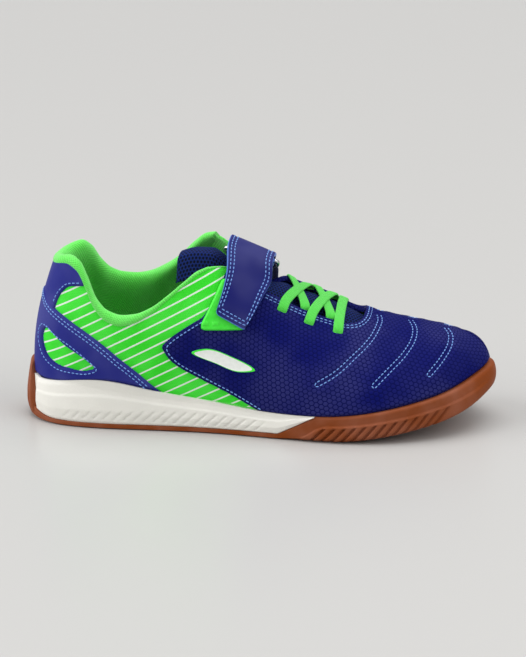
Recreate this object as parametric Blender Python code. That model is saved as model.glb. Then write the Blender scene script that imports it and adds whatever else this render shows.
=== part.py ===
"""Right indoor sports shoe with a strap, built from one last function. Tables in mm, +X toe, +Z up."""
import math

import bmesh
import bpy
import numpy as np

MM = 0.001
LENGTH = 238.0
HALF_TURN = math.pi
UPPER_HEEL_X = 6.4
UPPER_TOE_X = 233.2
WALL = 2.2
COLLAR_PAD = 3.0
COLLAR_PAD_REACH = 16.0
OVERLAY_GAP = 0.4
OVERLAY = 1.1
SEAT_GAP = 0.5
GUM_PLATE = 2.4
MID_END_LOW = 131.0
MID_END_HIGH = 150.0
MID_PLATE_END = 136.0
MID_TIP = 148.0
CUP_START = 139.0
TAB_HALF_TURN = 0.30
TAB_TOP = 29.0
TAB_THICK = 2.4
RIB_FIRST, RIB_LAST, RIB_PITCH = 151.0, 211.0, 5.0
RIB_OUT = 0.8
RIB_LEAN = 3.0
HEEL_GROOVES = (24.0, 36.0, 48.0, 60.0)
GROOVE_DEEP = 1.3
THROAT_HALF = 18.5
THROAT_FRONT = 172.0
THROAT_SOFT = 3.0
# The instep stands higher on the medial side: the rise and where it starts and ends along and across.
INSTEP_RISE = 6.8
RISE_ALONG = (121.0, 132.0, 148.0, 178.0)
RISE_ACROSS = (-16.0, 20.0, 22.0, 42.0)
LACE_WIDE, LACE_THICK = 5.0, 1.3
LACE_SPAN, LACE_CROWN = 18.5, 1.8
STRAP_WIDE, STRAP_THICK = 24.0, 2.0
WIRE = 1.1

# One row per station along the sole: x from the heel, then lateral and medial half outlines (signed y).
OUTLINE_COLUMNS = ("x", "sole_lat", "sole_med", "foot_lat", "foot_med")
OUTLINE = (
    (0, 0, 0, 0, 0),
    (8, -19, 18.5, -16.5, 16),
    (22, -27.5, 27, -24.6, 24.2),
    (45, -31.5, 30, -28.4, 27),
    (72, -32.5, 29.5, -29.4, 26.4),
    (96, -34, 29.5, -31, 26.6),
    (118, -37.5, 32, -34.6, 29.2),
    (138, -41.5, 37, -38.8, 34.4),
    (160, -44.5, 42.5, -41.6, 39.6),
    (182, -43.5, 45, -40.6, 42.2),
    (202, -37, 43, -34.2, 40.3),
    (218, -26, 37, -23.6, 34.5),
    (230, -11.5, 27, -9.5, 24.8),
    (238, 7, 7, 7, 7),
)
# Heights at the same stations: tread edge, top of the sole wall, seat of the upper, then the wall's lean.
HEIGHT_COLUMNS = ("x", "bottom", "wall_top", "seat", "lean", "foot_pull")
HEIGHTS = (
    (0, 1.2, 21.8, 12, 6, 0.45),
    (8, 0.2, 21.4, 12, 7, 0.45),
    (22, 0, 23, 12, 8, 0.44),
    (45, 0, 24.8, 12, 9, 0.44),
    (72, 0, 20, 11, 9, 0.44),
    (96, 0, 16.6, 9.5, 9, 0.45),
    (118, 0, 13.7, 8.2, 9, 0.46),
    (138, 0, 12.8, 7.2, 9, 0.48),
    (160, 0, 13.2, 6.8, 9, 0.50),
    (182, 2.2, 15.8, 7.8, 10, 0.52),
    (202, 5.4, 19.2, 10.4, 12, 0.52),
    (218, 8.6, 22.6, 13.8, 14, 0.52),
    (230, 12.6, 26.4, 17, 15, 0.52),
    (238, 17, 29.6, 19, 15, 0.52),
)
# Where each meridian of the upper ends: on a standing rim behind, on the ridge of the instep in front.
HEAD_COLUMNS = ("x", "head_x", "head_z", "centre", "spread", "tilt", "head_pull")
HEADS = (
    (0, 20.5, 92, 0, 0, 72, 0.30),
    (8, 23, 92, 0, 11, 73, 0.30),
    (22, 31.5, 92, 0, 18, 75, 0.30),
    (45, 50, 93, 0, 20.5, 76, 0.30),
    (72, 74, 97, 0.5, 20, 74, 0.30),
    (96, 97, 96, 1.5, 10, 50, 0.30),
    (118, 117, 82, 2.5, 0, 10, 0.26),
    (138, 136, 69, 3.5, 0, 0, 0.25),
    (160, 157, 59.4, 4.5, 0, 0, 0.26),
    (182, 178, 52.8, 5.5, 0, 0, 0.30),
    (202, 196, 48.8, 6.5, 0, 0, 0.34),
    (218, 208.5, 46.4, 7, 0, 0, 0.38),
    (230, 215, 44.8, 7.5, 0, 0, 0.41),
    (238, 218, 44, 8, 0, 0, 0.43),
)
# Top line of the collar, heights by x.
TOPLINE_COLUMNS = ("x", "lateral", "medial")
TOPLINE = (
    (8, 80, 80),
    (14, 81, 81),
    (20, 83.5, 83.5),
    (26, 85, 85),
    (31, 82.5, 81.5),
    (35, 76, 74.5),
    (40, 65.5, 69),
    (46, 59.5, 66.6),
    (53, 57.5, 66),
    (60, 58.4, 67.2),
    (68, 62, 71),
    (76, 68, 76.5),
    (84, 74.6, 84.6),
    (91, 79.8, 90),
    (98, 81.8, 91.4),
    (106, 82, 90),
    (114, 82, 88),
)
# Rear part of the blue side panel: heights of its lower and upper border by station.
PANEL_COLUMNS = ("x", "low", "high")
PANEL = (
    (70.6, 42.4, 44),
    (73, 38.6, 46.4),
    (76.6, 35.1, 49.2),
    (82.5, 31.6, 53),
    (87.2, 29.4, 55.8),
    (91.8, 27.2, 58.6),
    (97, 24.9, 67),
    (101.8, 22.8, 76),
    (106, 20.8, 85),
    (114, 16.8, 99),
    (123, 12.2, 110),
)
# Top border of the heel counter and lower border of the heel patch: heights by station round the heel.
COUNTER_COLUMNS = ("x", "top")
COUNTER = (
    (0, 65.6), (3, 64.4), (8, 61.2), (13, 58.6), (18, 56.2), (24, 53),
    (34, 47.2), (42, 41.6), (49, 36), (55, 31.6), (69, 20),
)
PATCH_COLUMNS = ("x", "low")
PATCH = ((0, 67.2), (3, 66), (8, 63), (12, 61.2), (13.4, 62.6), (15.6, 67), (20, 70.6), (27, 71.4))
# Window in the heel counter, seen from the side.
TEARDROP = (
    (14.1, 48), (11.6, 43.4), (12.4, 38.4), (14.8, 34), (19.2, 31.2), (27, 29.7),
    (35, 29.3), (39.4, 31), (35.4, 34.9), (30.4, 38), (25, 41), (19.7, 44.8), (16.4, 47.4),
)
# Plate under the strap's end: heights of its lower and upper border by station.
BASE_COLUMNS = ("x", "low", "high")
BASE = (
    (91, 53, 55.4), (93, 52.2, 59), (97, 52.2, 67), (101.8, 52.2, 75.4),
    (112, 52.2, 74), (115, 59, 73), (119, 67.5, 71.5),
)
# Centre line of the tongue: x, z, half width.
TONGUE_COLUMNS = ("x", "z", "half")
TONGUE = (
    (77.5, 82.4, 10.5), (80, 84.2, 12), (88, 86, 12.5), (95, 85.8, 12.5), (104, 80, 12.5),
    (110, 77.6, 13.5), (117, 73.8, 16), (124, 67.8, 17.4), (131, 63.8, 17.4), (139, 60.4, 17.4),
    (152, 56.2, 17.6), (164, 53, 17.6), (172, 50.4, 16.5), (178, 48.5, 15),
)
TONGUE_WING, TONGUE_FOLLOW = 9.0, 0.7
# Rear and front edges of the strap on the lateral side, from its tip up, as x and z, and the cut of its end.
STRAP_REAR = ((100.2, 59.6), (100.9, 63.6), (102.4, 69.5), (103.3, 76))
STRAP_FORE = ((114.5, 51.4), (118.6, 59.6), (121.6, 65.2), (124.3, 71))
STRAP_TIP = (1.0, 0.0, 0.0, 0.0, 0.8)
STRAP_ACROSS = (0.92, 0.0, -0.39)
STRAP_LIFT = 3.6
STRAP_CREST = ((115, -8, 85.6), (115.4, 0, 87.3))
RING_ACROSS = (0.965, 0.0, -0.26)
RING_BAR = (114.4, 9, 81.4)
RING_DOWN = (0.0, 0.80, -0.60)
TAB_HEIGHTS = (70.5, 66.5, 63.0)
RING_WIDE, RING_DEEP = 27.5, 6.2
RING_TAB_WIDE, RING_TAB_SHIFT = 14.0, 5.2
# Laces as x and distance from the middle line. One end of each crossing strand stops inside the throat.
LACE_FRONT = ((159.2, -25.5), (159.6, 25.5))
LACE_MIDDLE = ((144.4, -25), (153.4, 11.5))
LACE_MIDDLE_UNDER = ((153.4, -11.5), (144.4, 25))
LACE_REAR = ((131, -24), (141.5, 12))
LACE_REAR_UNDER = ((141.5, -12), (131, 24.5))
ORIGIN = (118.6, 0.15, 0.0)

BLUE = (0.035, 0.032, 0.20, 1)
GREEN = (0.08, 0.72, 0.06, 1)
NAVY = (0.012, 0.022, 0.12, 1)
WHITE = (0.78, 0.77, 0.74, 1)
GUM = (0.30, 0.10, 0.03, 1)
STEEL = (0.62, 0.62, 0.64, 1)


def clear_scene():
    for item in list(bpy.data.objects):
        bpy.data.objects.remove(item, do_unlink=True)


def material(name, colour, rough, metal=0.0):
    made = bpy.data.materials.new(name)
    made.use_nodes = True
    shader = made.node_tree.nodes["Principled BSDF"]
    shader.inputs["Base Color"].default_value = colour
    shader.inputs["Roughness"].default_value = rough
    shader.inputs["Metallic"].default_value = metal
    return made


def turn_of(x):
    """Angle of the station at x: 0 at the heel, half a turn at the toe."""
    return np.arccos(np.clip(1 - 2 * np.asarray(x, float) / LENGTH, -1, 1))


def ring_spline(knots, values):
    """Smooth closed curve through the values, as a function of the angle."""
    knots = np.asarray(knots, float)
    values = np.asarray(values, float)
    count = len(knots)
    gap = np.diff(np.append(knots, knots[0] + 2 * HALF_TURN))
    rise = (np.roll(values, -1) - values) / gap
    matrix = np.zeros((count, count))
    for i in range(count):
        matrix[i, i - 1] += gap[i]
        matrix[i, i] += 2 * (gap[i - 1] + gap[i])
        matrix[i, (i + 1) % count] += gap[i - 1]
    slope = np.linalg.solve(matrix, 3 * (gap * np.roll(rise, 1) + np.roll(gap, 1) * rise))

    def at(angle):
        angle = (np.asarray(angle, float) - knots[0]) % (2 * HALF_TURN) + knots[0]
        i = np.clip(np.searchsorted(knots, angle, side="right") - 1, 0, count - 1)
        j = (i + 1) % count
        t = (angle - knots[i]) / gap[i]
        return (
            values[i] * (1 + 2 * t) * (1 - t) ** 2
            + slope[i] * gap[i] * t * (1 - t) ** 2
            + values[j] * t * t * (3 - 2 * t)
            + slope[j] * gap[i] * t * t * (t - 1)
        )

    return at


def loop_curve(rows, columns, lateral, medial):
    """Closed curve that takes one column along the lateral side and another back along the medial side."""
    table = np.array(rows, float)
    turn = turn_of(table[:, 0])
    knots = np.concatenate([turn, 2 * HALF_TURN - turn[-2:0:-1]])
    values = np.concatenate([table[:, columns.index(lateral)], table[-2:0:-1, columns.index(medial)]])
    return ring_spline(knots, values)


def smooth_line(rows, columns, column):
    """Smooth open curve of one column by the first column, level beyond its ends."""
    table = np.array(rows, float)
    x = table[:, 0]
    y = table[:, columns.index(column)]
    rise = np.diff(y) / np.diff(x)
    slope = np.concatenate([rise[:1], np.zeros(len(x) - 2), rise[-1:]])
    for i in range(1, len(x) - 1):
        a, b = rise[i - 1], rise[i]
        slope[i] = 0 if a * b <= 0 else 2 * a * b / (a + b)

    def at(value):
        value = np.clip(np.asarray(value, float), x[0], x[-1])
        i = np.clip(np.searchsorted(x, value, side="right") - 1, 0, len(x) - 2)
        gap = x[i + 1] - x[i]
        t = (value - x[i]) / gap
        return (
            y[i] * (1 + 2 * t) * (1 - t) ** 2
            + slope[i] * gap * t * (1 - t) ** 2
            + y[i + 1] * t * t * (3 - 2 * t)
            + slope[i + 1] * gap * t * t * (t - 1)
        )

    return at


SOLE_Y = loop_curve(OUTLINE, OUTLINE_COLUMNS, "sole_lat", "sole_med")
FOOT_Y = loop_curve(OUTLINE, OUTLINE_COLUMNS, "foot_lat", "foot_med")
BOTTOM, WALL_TOP, SEAT, LEAN, FOOT_PULL = (
    loop_curve(HEIGHTS, HEIGHT_COLUMNS, name, name) for name in HEIGHT_COLUMNS[1:]
)
HEAD_X, HEAD_Z, CENTRE, SPREAD, TILT, HEAD_PULL = (
    loop_curve(HEADS, HEAD_COLUMNS, name, name) for name in HEAD_COLUMNS[1:]
)
TOP_LATERAL = smooth_line(TOPLINE, TOPLINE_COLUMNS, "lateral")
TOP_MEDIAL = smooth_line(TOPLINE, TOPLINE_COLUMNS, "medial")
TONGUE_Z = smooth_line(TONGUE, TONGUE_COLUMNS, "z")
TONGUE_HALF = smooth_line(TONGUE, TONGUE_COLUMNS, "half")


def tread_edge(angle):
    """Height of the outer edge of the tread, flat on the floor under the heel and the ball."""
    return np.maximum(BOTTOM(angle), 0)


def station_x(angle):
    return LENGTH * (1 - np.cos(angle)) / 2


def side_of(angle):
    """-1 on the lateral half of the turn, +1 on the medial half."""
    return np.where(np.sin(angle) >= -1e-9, -1.0, 1.0)


def ease(low, high, value):
    t = np.clip((value - low) / (high - low), 0, 1)
    return t * t * (3 - 2 * t)


def stack(x, y, z):
    return np.stack(np.broadcast_arrays(x, y, z), -1)


def instep_rise(x, y):
    """Extra height of the instep on its medial side."""
    along = ease(RISE_ALONG[0], RISE_ALONG[1], x) * (1 - ease(RISE_ALONG[2], RISE_ALONG[3], x))
    across = ease(RISE_ACROSS[0], RISE_ACROSS[1], y) * (1 - ease(RISE_ACROSS[2], RISE_ACROSS[3], y))
    return INSTEP_RISE * along * across


def last(angle, climb):
    """Point of the upper's outside: angle round the foot, climb 0 at the seat and 1 at the head."""
    angle, climb = np.broadcast_arrays(np.asarray(angle, float), np.asarray(climb, float))
    foot_x = UPPER_HEEL_X + (UPPER_TOE_X - UPPER_HEEL_X) * (1 - np.cos(angle)) / 2
    foot = stack(foot_x, FOOT_Y(angle), SEAT(angle))
    rim = np.where(station_x(angle) < 117.9, np.clip(SPREAD(angle), 0, None), 0)
    head = stack(HEAD_X(angle), CENTRE(angle) + side_of(angle) * rim, HEAD_Z(angle))
    out = foot[..., :2] - head[..., :2]
    out = out / np.linalg.norm(out, axis=-1, keepdims=True)
    lean = np.radians(LEAN(angle))
    rise = (head - foot)[..., 2] * FOOT_PULL(angle)
    handle = stack(out[..., 0] * np.sin(lean), out[..., 1] * np.sin(lean), np.cos(lean)) * rise[..., None]
    tilt = np.radians(np.clip(TILT(angle), 0, 90))
    step = 0.01
    front = HEAD_X(angle + step) - HEAD_X(angle - step)
    fall = HEAD_Z(angle + step) - HEAD_Z(angle - step)
    level = np.where(np.abs(front) < 1e-4, 0, fall / np.where(front == 0, 1, front))
    level = np.where(station_x(angle) > 100, np.clip(level, -0.6, 0.1), 0) * ease(100, 122, station_x(angle))
    reach = HEAD_PULL(angle) * np.linalg.norm(head - foot, axis=-1)
    drop = stack(out[..., 0] * np.cos(tilt), out[..., 1] * np.cos(tilt), out[..., 0] * level - np.sin(tilt))
    low, high = foot + handle, head + drop * reach[..., None]
    t = climb[..., None]
    point = foot * (1 - t) ** 3 + 3 * low * t * (1 - t) ** 2 + 3 * high * t * t * (1 - t) + head * t ** 3
    point[..., 2] += instep_rise(point[..., 0], point[..., 1])
    return point


def last_normal(angle, climb):
    """Outward direction of the last, from close neighbours."""
    turn, lift = 0.004, 0.004
    climb = np.minimum(climb, 0.985)
    high = np.minimum(climb + lift, 1)
    low = np.maximum(climb - lift, 0)
    along = last(angle + turn, climb) - last(angle - turn, climb)
    up = last(angle, high) - last(angle, low)
    normal = np.cross(along, up)
    return normal / np.maximum(np.linalg.norm(normal, axis=-1, keepdims=True), 1e-12)


def throat_half(x):
    """Half width of the throat at x: square ended with rounded corners."""
    gone = np.clip((x - (THROAT_FRONT - 15)) / 15, 0, 1)
    wide = THROAT_HALF * (0.72 + 0.28 * ease(98, 122, x))
    return np.where(x < THROAT_FRONT, wide * np.clip(1 - gone ** 3.2, 0, 1) ** (1 / 3.2), 0)


def opening(point, angle):
    """Positive where the upper is cut away for the collar and the throat."""
    x, y, z = point[..., 0], point[..., 1], point[..., 2]
    top = np.where(side_of(angle) < 0, TOP_LATERAL(x), TOP_MEDIAL(x))
    collar = np.where(x < 120, z - top, z - 200)
    middle = CENTRE(turn_of(np.clip(x + 2, 0, LENGTH)))
    throat = np.where(x > 96, throat_half(x) - np.abs(y - middle), -50)
    throat = np.where(throat_half(x) <= 0, -1, throat)
    parts = [np.exp(np.clip(part / THROAT_SOFT, -60, 60)) for part in (collar, throat)]
    return np.log(parts[0] + parts[1]) * THROAT_SOFT


def trim(angle):
    """Climb at which each meridian meets the opening, 1 where it reaches the ridge."""
    climbs = np.linspace(0.2, 1, 161)
    points = last(angle[None, :], climbs[:, None])
    level = opening(points, angle[None, :])
    found = np.ones(len(angle))
    for i in range(len(angle)):
        hits = np.nonzero(level[:, i] > 0)[0]
        if len(hits) and hits[0] > 0:
            k = hits[0]
            part = -level[k - 1, i] / (level[k, i] - level[k - 1, i])
            found[i] = climbs[k - 1] + part * (climbs[k] - climbs[k - 1])
    return found


def climb_at(angle, height):
    """Climb at which each meridian reaches the height."""
    climbs = np.linspace(0, 1, 161)
    z = last(angle[None, :], climbs[:, None])[..., 2]
    z = np.maximum.accumulate(z, axis=0)
    height = np.broadcast_to(height, angle.shape)
    return np.array([np.interp(h, z[:, i], climbs) for i, h in enumerate(height)])


def finish(name, points, faces, paint):
    mesh = bpy.data.meshes.new(name)
    mesh.from_pydata(((np.asarray(points) - np.array(ORIGIN)) * MM).tolist(), [], faces)
    shape = bmesh.new()
    shape.from_mesh(mesh)
    bmesh.ops.remove_doubles(shape, verts=shape.verts, dist=1e-6)
    bmesh.ops.dissolve_degenerate(shape, edges=shape.edges, dist=1e-7)
    bmesh.ops.recalc_face_normals(shape, faces=shape.faces)
    shape.to_mesh(mesh)
    shape.free()
    mesh.materials.append(paint)
    made = bpy.data.objects.new(name, mesh)
    bpy.context.scene.collection.objects.link(made)
    return made


def shell(name, outer, inner, joined, closed, paint):
    """Closed solid between two grids. Columns marked joined meet their mirror at the ridge."""
    rows, cols = outer.shape[:2]
    points = np.concatenate([outer.reshape(-1, 3), inner.reshape(-1, 3)])
    base = rows * cols
    faces = []
    last_col = cols if closed else cols - 1
    for c in range(last_col):
        d = (c + 1) % cols
        for r in range(rows - 1):
            a, b, e, f = r * cols + c, r * cols + d, (r + 1) * cols + d, (r + 1) * cols + c
            faces.append((a, b, e, f))
            faces.append((base + f, base + e, base + b, base + a))
        faces.append((base + c, base + d, d, c))
        if not (joined[c] and joined[d]):
            top = (rows - 1) * cols
            faces.append((top + c, top + d, base + top + d, base + top + c))
    if not closed:
        for c in (0, cols - 1):
            for r in range(rows - 1):
                a, b = r * cols + c, (r + 1) * cols + c
                faces.append((a, b, base + b, base + a))
    return finish(name, points, faces, paint)


def loft(name, rings, low_across, high_across, paint):
    """Closed solid of stacked closed rings, with its bottom and top filled across from side to side."""
    count, cols = rings.shape[:2]
    half = cols // 2
    points = [rings.reshape(-1, 3)]
    faces = []
    for r in range(count - 1):
        for c in range(cols):
            d = (c + 1) % cols
            faces.append((r * cols + c, r * cols + d, (r + 1) * cols + d, (r + 1) * cols + c))
    size = count * cols
    for r, across in ((0, low_across), (count - 1, high_across)):
        grid = np.zeros((len(across[0]) + 2, half + 1), int)
        grid[0] = r * cols + np.arange(half + 1)
        grid[-1] = r * cols + (cols - np.arange(half + 1)) % cols
        for k in range(len(across[0])):
            grid[k + 1] = size + np.arange(half + 1)
            share = across[0][k]
            far = rings[r, (cols - np.arange(half + 1)) % cols]
            row = rings[r, :half + 1] * (1 - share) + far * share
            row[:, 2] = across[1](row, k)
            grid[k + 1, 0], grid[k + 1, -1] = grid[0, 0], grid[0, -1]
            points.append(row)
            size += half + 1
        for k in range(len(grid) - 1):
            for c in range(half):
                corners = (grid[k, c], grid[k, c + 1], grid[k + 1, c + 1], grid[k + 1, c])
                faces.append(tuple(int(i) for i in dict.fromkeys(corners)))
    return finish(name, np.concatenate(points), faces, paint)


def drop_loose(item):
    """Removes points that no face uses."""
    shape = bmesh.new()
    shape.from_mesh(item.data)
    loose = [v for v in shape.verts if not v.link_faces]
    bmesh.ops.delete(shape, geom=loose, context="VERTS")
    shape.to_mesh(item.data)
    shape.free()
    return item


def ribbon(name, middle, across, up, wide, thick, paint):
    """Flat band along a line of points. across and up are unit directions at each point."""
    middle, across, up = (np.asarray(v, float) for v in (middle, across, up))
    half = np.broadcast_to(np.asarray(wide, float), (len(middle),))[:, None] / 2
    corners = [
        middle - across * half,
        middle + across * half,
        middle + across * half + up * thick,
        middle - across * half + up * thick,
    ]
    points = np.stack(corners, 1).reshape(-1, 3)
    faces = []
    for i in range(len(middle) - 1):
        for k in range(4):
            m = (k + 1) % 4
            faces.append((4 * i + k, 4 * i + m, 4 * i + 4 + m, 4 * i + 4 + k))
    end = 4 * (len(middle) - 1)
    faces.append((3, 2, 1, 0))
    faces.append((end, end + 1, end + 2, end + 3))
    return finish(name, points, faces, paint)


def unit(v):
    v = np.asarray(v, float)
    return v / np.maximum(np.linalg.norm(v, axis=-1, keepdims=True), 1e-12)


def curve_through(points, count):
    """Smooth line through a few points, evenly spaced."""
    points = np.asarray(points, float)
    reach = np.concatenate([[0], np.cumsum(np.linalg.norm(np.diff(points, axis=0), axis=1))])
    slope = np.gradient(points, reach, axis=0)
    fine = np.linspace(0, reach[-1], count)
    i = np.clip(np.searchsorted(reach, fine, side="right") - 1, 0, len(reach) - 2)
    gap = (reach[i + 1] - reach[i])[:, None]
    t = ((fine - reach[i]) / (reach[i + 1] - reach[i]))[:, None]
    return (
        points[i] * (1 + 2 * t) * (1 - t) ** 2
        + slope[i] * gap * t * (1 - t) ** 2
        + points[i + 1] * t * t * (3 - 2 * t)
        + slope[i + 1] * gap * t * t * (t - 1)
    )


def boolean(item, cutter, operation):
    cut = item.modifiers.new(operation.lower(), "BOOLEAN")
    cut.operation = operation
    cut.solver = "EXACT"
    cut.object = cutter
    cutter.hide_render = True
    cutter.display_type = "WIRE"
    return item


UPPER_ROWS = np.linspace(0, 1, 10) ** 0.9


def upper_columns():
    even = np.linspace(0, HALF_TURN, 33)
    front = turn_of(np.array([163, 167.5, 170.5, 172.6, 174.2, 175.6, 177.5]))
    keep = even[(even < front[0] - 0.03) | (even > front[-1] + 0.03)]
    lateral = np.sort(np.concatenate([keep, front]))
    return lateral


def both_sides(lateral):
    """Angles once round: heel, lateral side, toe, medial side."""
    return np.concatenate([lateral, 2 * HALF_TURN - lateral[-2:0:-1]])


def wall_depth(angle, gone):
    """Thickness of the upper's wall, padded under the collar. gone is the way down from the top line."""
    collar = 1 - ease(78, 102, station_x(angle))
    return WALL + COLLAR_PAD * collar * (1 - ease(2, COLLAR_PAD_REACH, gone)) * ease(-2, 3, gone + 1.5)


def make_upper(paint):
    lateral = upper_columns()
    angle = both_sides(lateral)
    top = trim(angle)
    joined = top > 0.9999
    climb = UPPER_ROWS[:, None] * top[None, :]
    turn = np.broadcast_to(angle[None, :], climb.shape)
    outer = last(turn, climb)
    normal = last_normal(turn, climb)
    ridge = joined[None, :] & (climb > 0.9999)
    normal = np.where(ridge[..., None], unit(normal * np.array([1, 0, 1])), normal)
    gone = np.linalg.norm(outer - outer[-1:], axis=-1)
    inner = outer - normal * wall_depth(turn, gone)[..., None]
    inner[0, :, 2] = outer[0, :, 2]
    inner = np.where(ridge[..., None], inner * np.array([1, 0, 1]) + outer * np.array([0, 1, 0]), inner)
    for c in np.nonzero(joined[:len(lateral)])[0]:
        inner[-1, -c], outer[-1, -c] = inner[-1, c], outer[-1, c]
    return shell("upper", outer, inner, joined, True, paint)


def overlay(name, angle, low, high, joined, paint, lift=OVERLAY_GAP, thick=OVERLAY, rows=None):
    """Thin piece on the upper between two climbs, on the upper's own rows unless others are given."""
    if rows is None:
        climb = np.clip(UPPER_ROWS[:, None] * trim(angle)[None, :], low[None, :], high[None, :])
        climb[0], climb[-1] = low, high
    else:
        climb = low[None, :] + np.linspace(0, 1, rows)[:, None] * (high - low)[None, :]
    turn = np.broadcast_to(angle[None, :], climb.shape)
    base = last(turn, climb)
    normal = last_normal(turn, climb)
    ridge = joined[None, :] & (climb > 0.9999)
    normal = np.where(ridge[..., None], unit(normal * np.array([1, 0, 1])), normal)
    lift = np.broadcast_to(lift, angle.shape)[None, :, None]
    outer, inner = base + normal * (lift + thick), base + normal * lift
    for c in np.nonzero(joined[:len(angle) // 2])[0]:
        inner[-1, -1 - c], outer[-1, -1 - c] = inner[-1, c], outer[-1, c]
    return shell(name, outer, inner, joined, False, paint)


def make_vamp_panel(paint):
    columns = upper_columns()
    x = station_x(columns)
    rear = turn_of(np.array([70.6, 71.6, 73.6, 77, 82]))
    lateral = np.concatenate([rear, columns[x > 85]])
    low_line = smooth_line(PANEL, PANEL_COLUMNS, "low")
    high_line = smooth_line(PANEL, PANEL_COLUMNS, "high")
    angle = np.concatenate([lateral, 2 * HALF_TURN - lateral[-2::-1]])
    x = station_x(angle)
    border = WALL_TOP(angle) + 2 * OVERLAY_GAP
    low = climb_at(angle, np.where(x < 123, np.maximum(low_line(x), border), border))
    top = trim(angle)
    joined = top > 0.9999
    high = np.where(x < 114, np.minimum(climb_at(angle, high_line(x)), top), top)
    lift = OVERLAY_GAP * (2 + 1.4 * (1 - ease(104, 116, x)) + 0.7 * ease(222, 236, x))
    return overlay("vamp_panel", angle, low, high, joined, paint, lift, OVERLAY - OVERLAY_GAP)


def heel_angles(stations):
    lateral = turn_of(np.asarray(stations, float))
    return np.concatenate([-lateral[:0:-1], lateral])


def make_heel_counter(paint):
    angle = heel_angles([0, 0.6, 2.2, 5, 9, 14, 20, 26, 32, 38, 44, 50, 56, 62, 66])
    x = station_x(angle)
    low = climb_at(angle, WALL_TOP(angle) + 2 * OVERLAY_GAP)
    high = climb_at(angle, smooth_line(COUNTER, COUNTER_COLUMNS, "top")(x))
    none = np.zeros(len(angle), bool)
    made = overlay("heel_counter", angle, low, high, none, paint, rows=6)
    outline = np.array(TEARDROP, float)
    count = len(outline)
    points = np.concatenate([
        stack(outline[:, 0], np.full(count, -60.0), outline[:, 1]),
        stack(outline[:, 0], np.full(count, 60.0), outline[:, 1]),
    ])
    faces = [tuple(range(count)), tuple(range(2 * count - 1, count - 1, -1))]
    faces += [(i, (i + 1) % count, count + (i + 1) % count, count + i) for i in range(count)]
    cutter = finish("window_cutter", points, faces, paint)
    return boolean(made, cutter, "DIFFERENCE")


def make_heel_patch(paint):
    angle = heel_angles([0, 0.6, 2.2, 5, 9, 12, 14, 16.5, 21, 27])
    x = station_x(angle)
    low = climb_at(angle, smooth_line(PATCH, PATCH_COLUMNS, "low")(x))
    high = trim(angle) - 0.055
    return overlay("heel_patch", angle, low, high, np.zeros(len(angle), bool), paint, rows=5)


def sole_columns(extra):
    even = np.linspace(0, HALF_TURN, 27)
    extra = turn_of(np.asarray(extra, float))
    near = np.abs(even[:, None] - extra[None, :]).min(axis=1)
    return np.sort(np.concatenate([even[near > 0.012], extra]))


def gum_top(angle):
    """Height of the gum's side: a plate behind, rising past the midsole's slanted end to a cup in front."""
    x = station_x(angle)
    share = np.clip((x - MID_END_LOW) / (MID_END_HIGH - MID_END_LOW), 0, 1)
    return GUM_PLATE + tread_edge(angle) * (1 - share) + (WALL_TOP(angle) - GUM_PLATE) * share


def seat_ring(angle, height, away):
    """Ring outside the upper's wall at a height, away from it."""
    climb = climb_at(angle, height)
    point = last(angle, climb)
    out = unit(last_normal(angle, climb) * np.array([1, 1, 0]))
    ring = point + out * away
    ring[:, 2] = height
    return ring


def sole_ring(angle, height, inset):
    turn = 0.004
    here = stack(station_x(angle), SOLE_Y(angle), np.zeros_like(angle))
    ahead = stack(station_x(angle + turn), SOLE_Y(angle + turn), 0.0)
    along = ahead - stack(station_x(angle - turn), SOLE_Y(angle - turn), 0.0)
    out = unit(np.stack([along[:, 1], -along[:, 0], 0 * along[:, 0]], -1))
    ring = here - out * np.broadcast_to(np.asarray(inset, float), angle.shape)[:, None]
    ring[:, 2] = height
    return ring


def groove_at(x, centres, half):
    if not len(centres):
        return np.zeros_like(x)
    near = np.abs(np.asarray(x)[:, None] - np.asarray(centres)[None, :]).min(axis=1)
    return (near < half).astype(float)


def gum_inner(angle):
    """Inner rim and floor of the gum: a plate and a ramp behind, a cup round the upper in front."""
    x = station_x(angle)
    around = np.minimum(angle, 2 * HALF_TURN - angle)
    cup = ease(CUP_START - 2, CUP_START, x)[:, None]
    by_tab = 1 - ease(TAB_HALF_TURN * 1.1, TAB_HALF_TURN * 1.6, around)
    top = gum_top(angle)
    seat = SEAT(angle)
    floor = np.where(x < CUP_START, np.minimum(top, seat - 0.4), seat - 0.4)
    inset = 5.0 - (5.0 - TAB_THICK) * by_tab
    rim = sole_ring(angle, top, inset) * (1 - cup) + seat_ring(angle, np.maximum(top, seat), SEAT_GAP) * cup
    low = sole_ring(angle, floor, inset + 1.0) * (1 - cup) + seat_ring(angle, seat, 2.2 * SEAT_GAP) * cup
    rim[:, 2] = np.maximum(top, floor)
    low[:, 2] = floor
    return rim, low


def lean_forward(angle, reach, zone):
    """Angles moved toward the toe by a length."""
    x = np.clip(station_x(angle) + reach * zone, 0, LENGTH)
    moved = turn_of(x)
    return np.where(side_of(angle) < 0, moved, 2 * HALF_TURN - moved)


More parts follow.
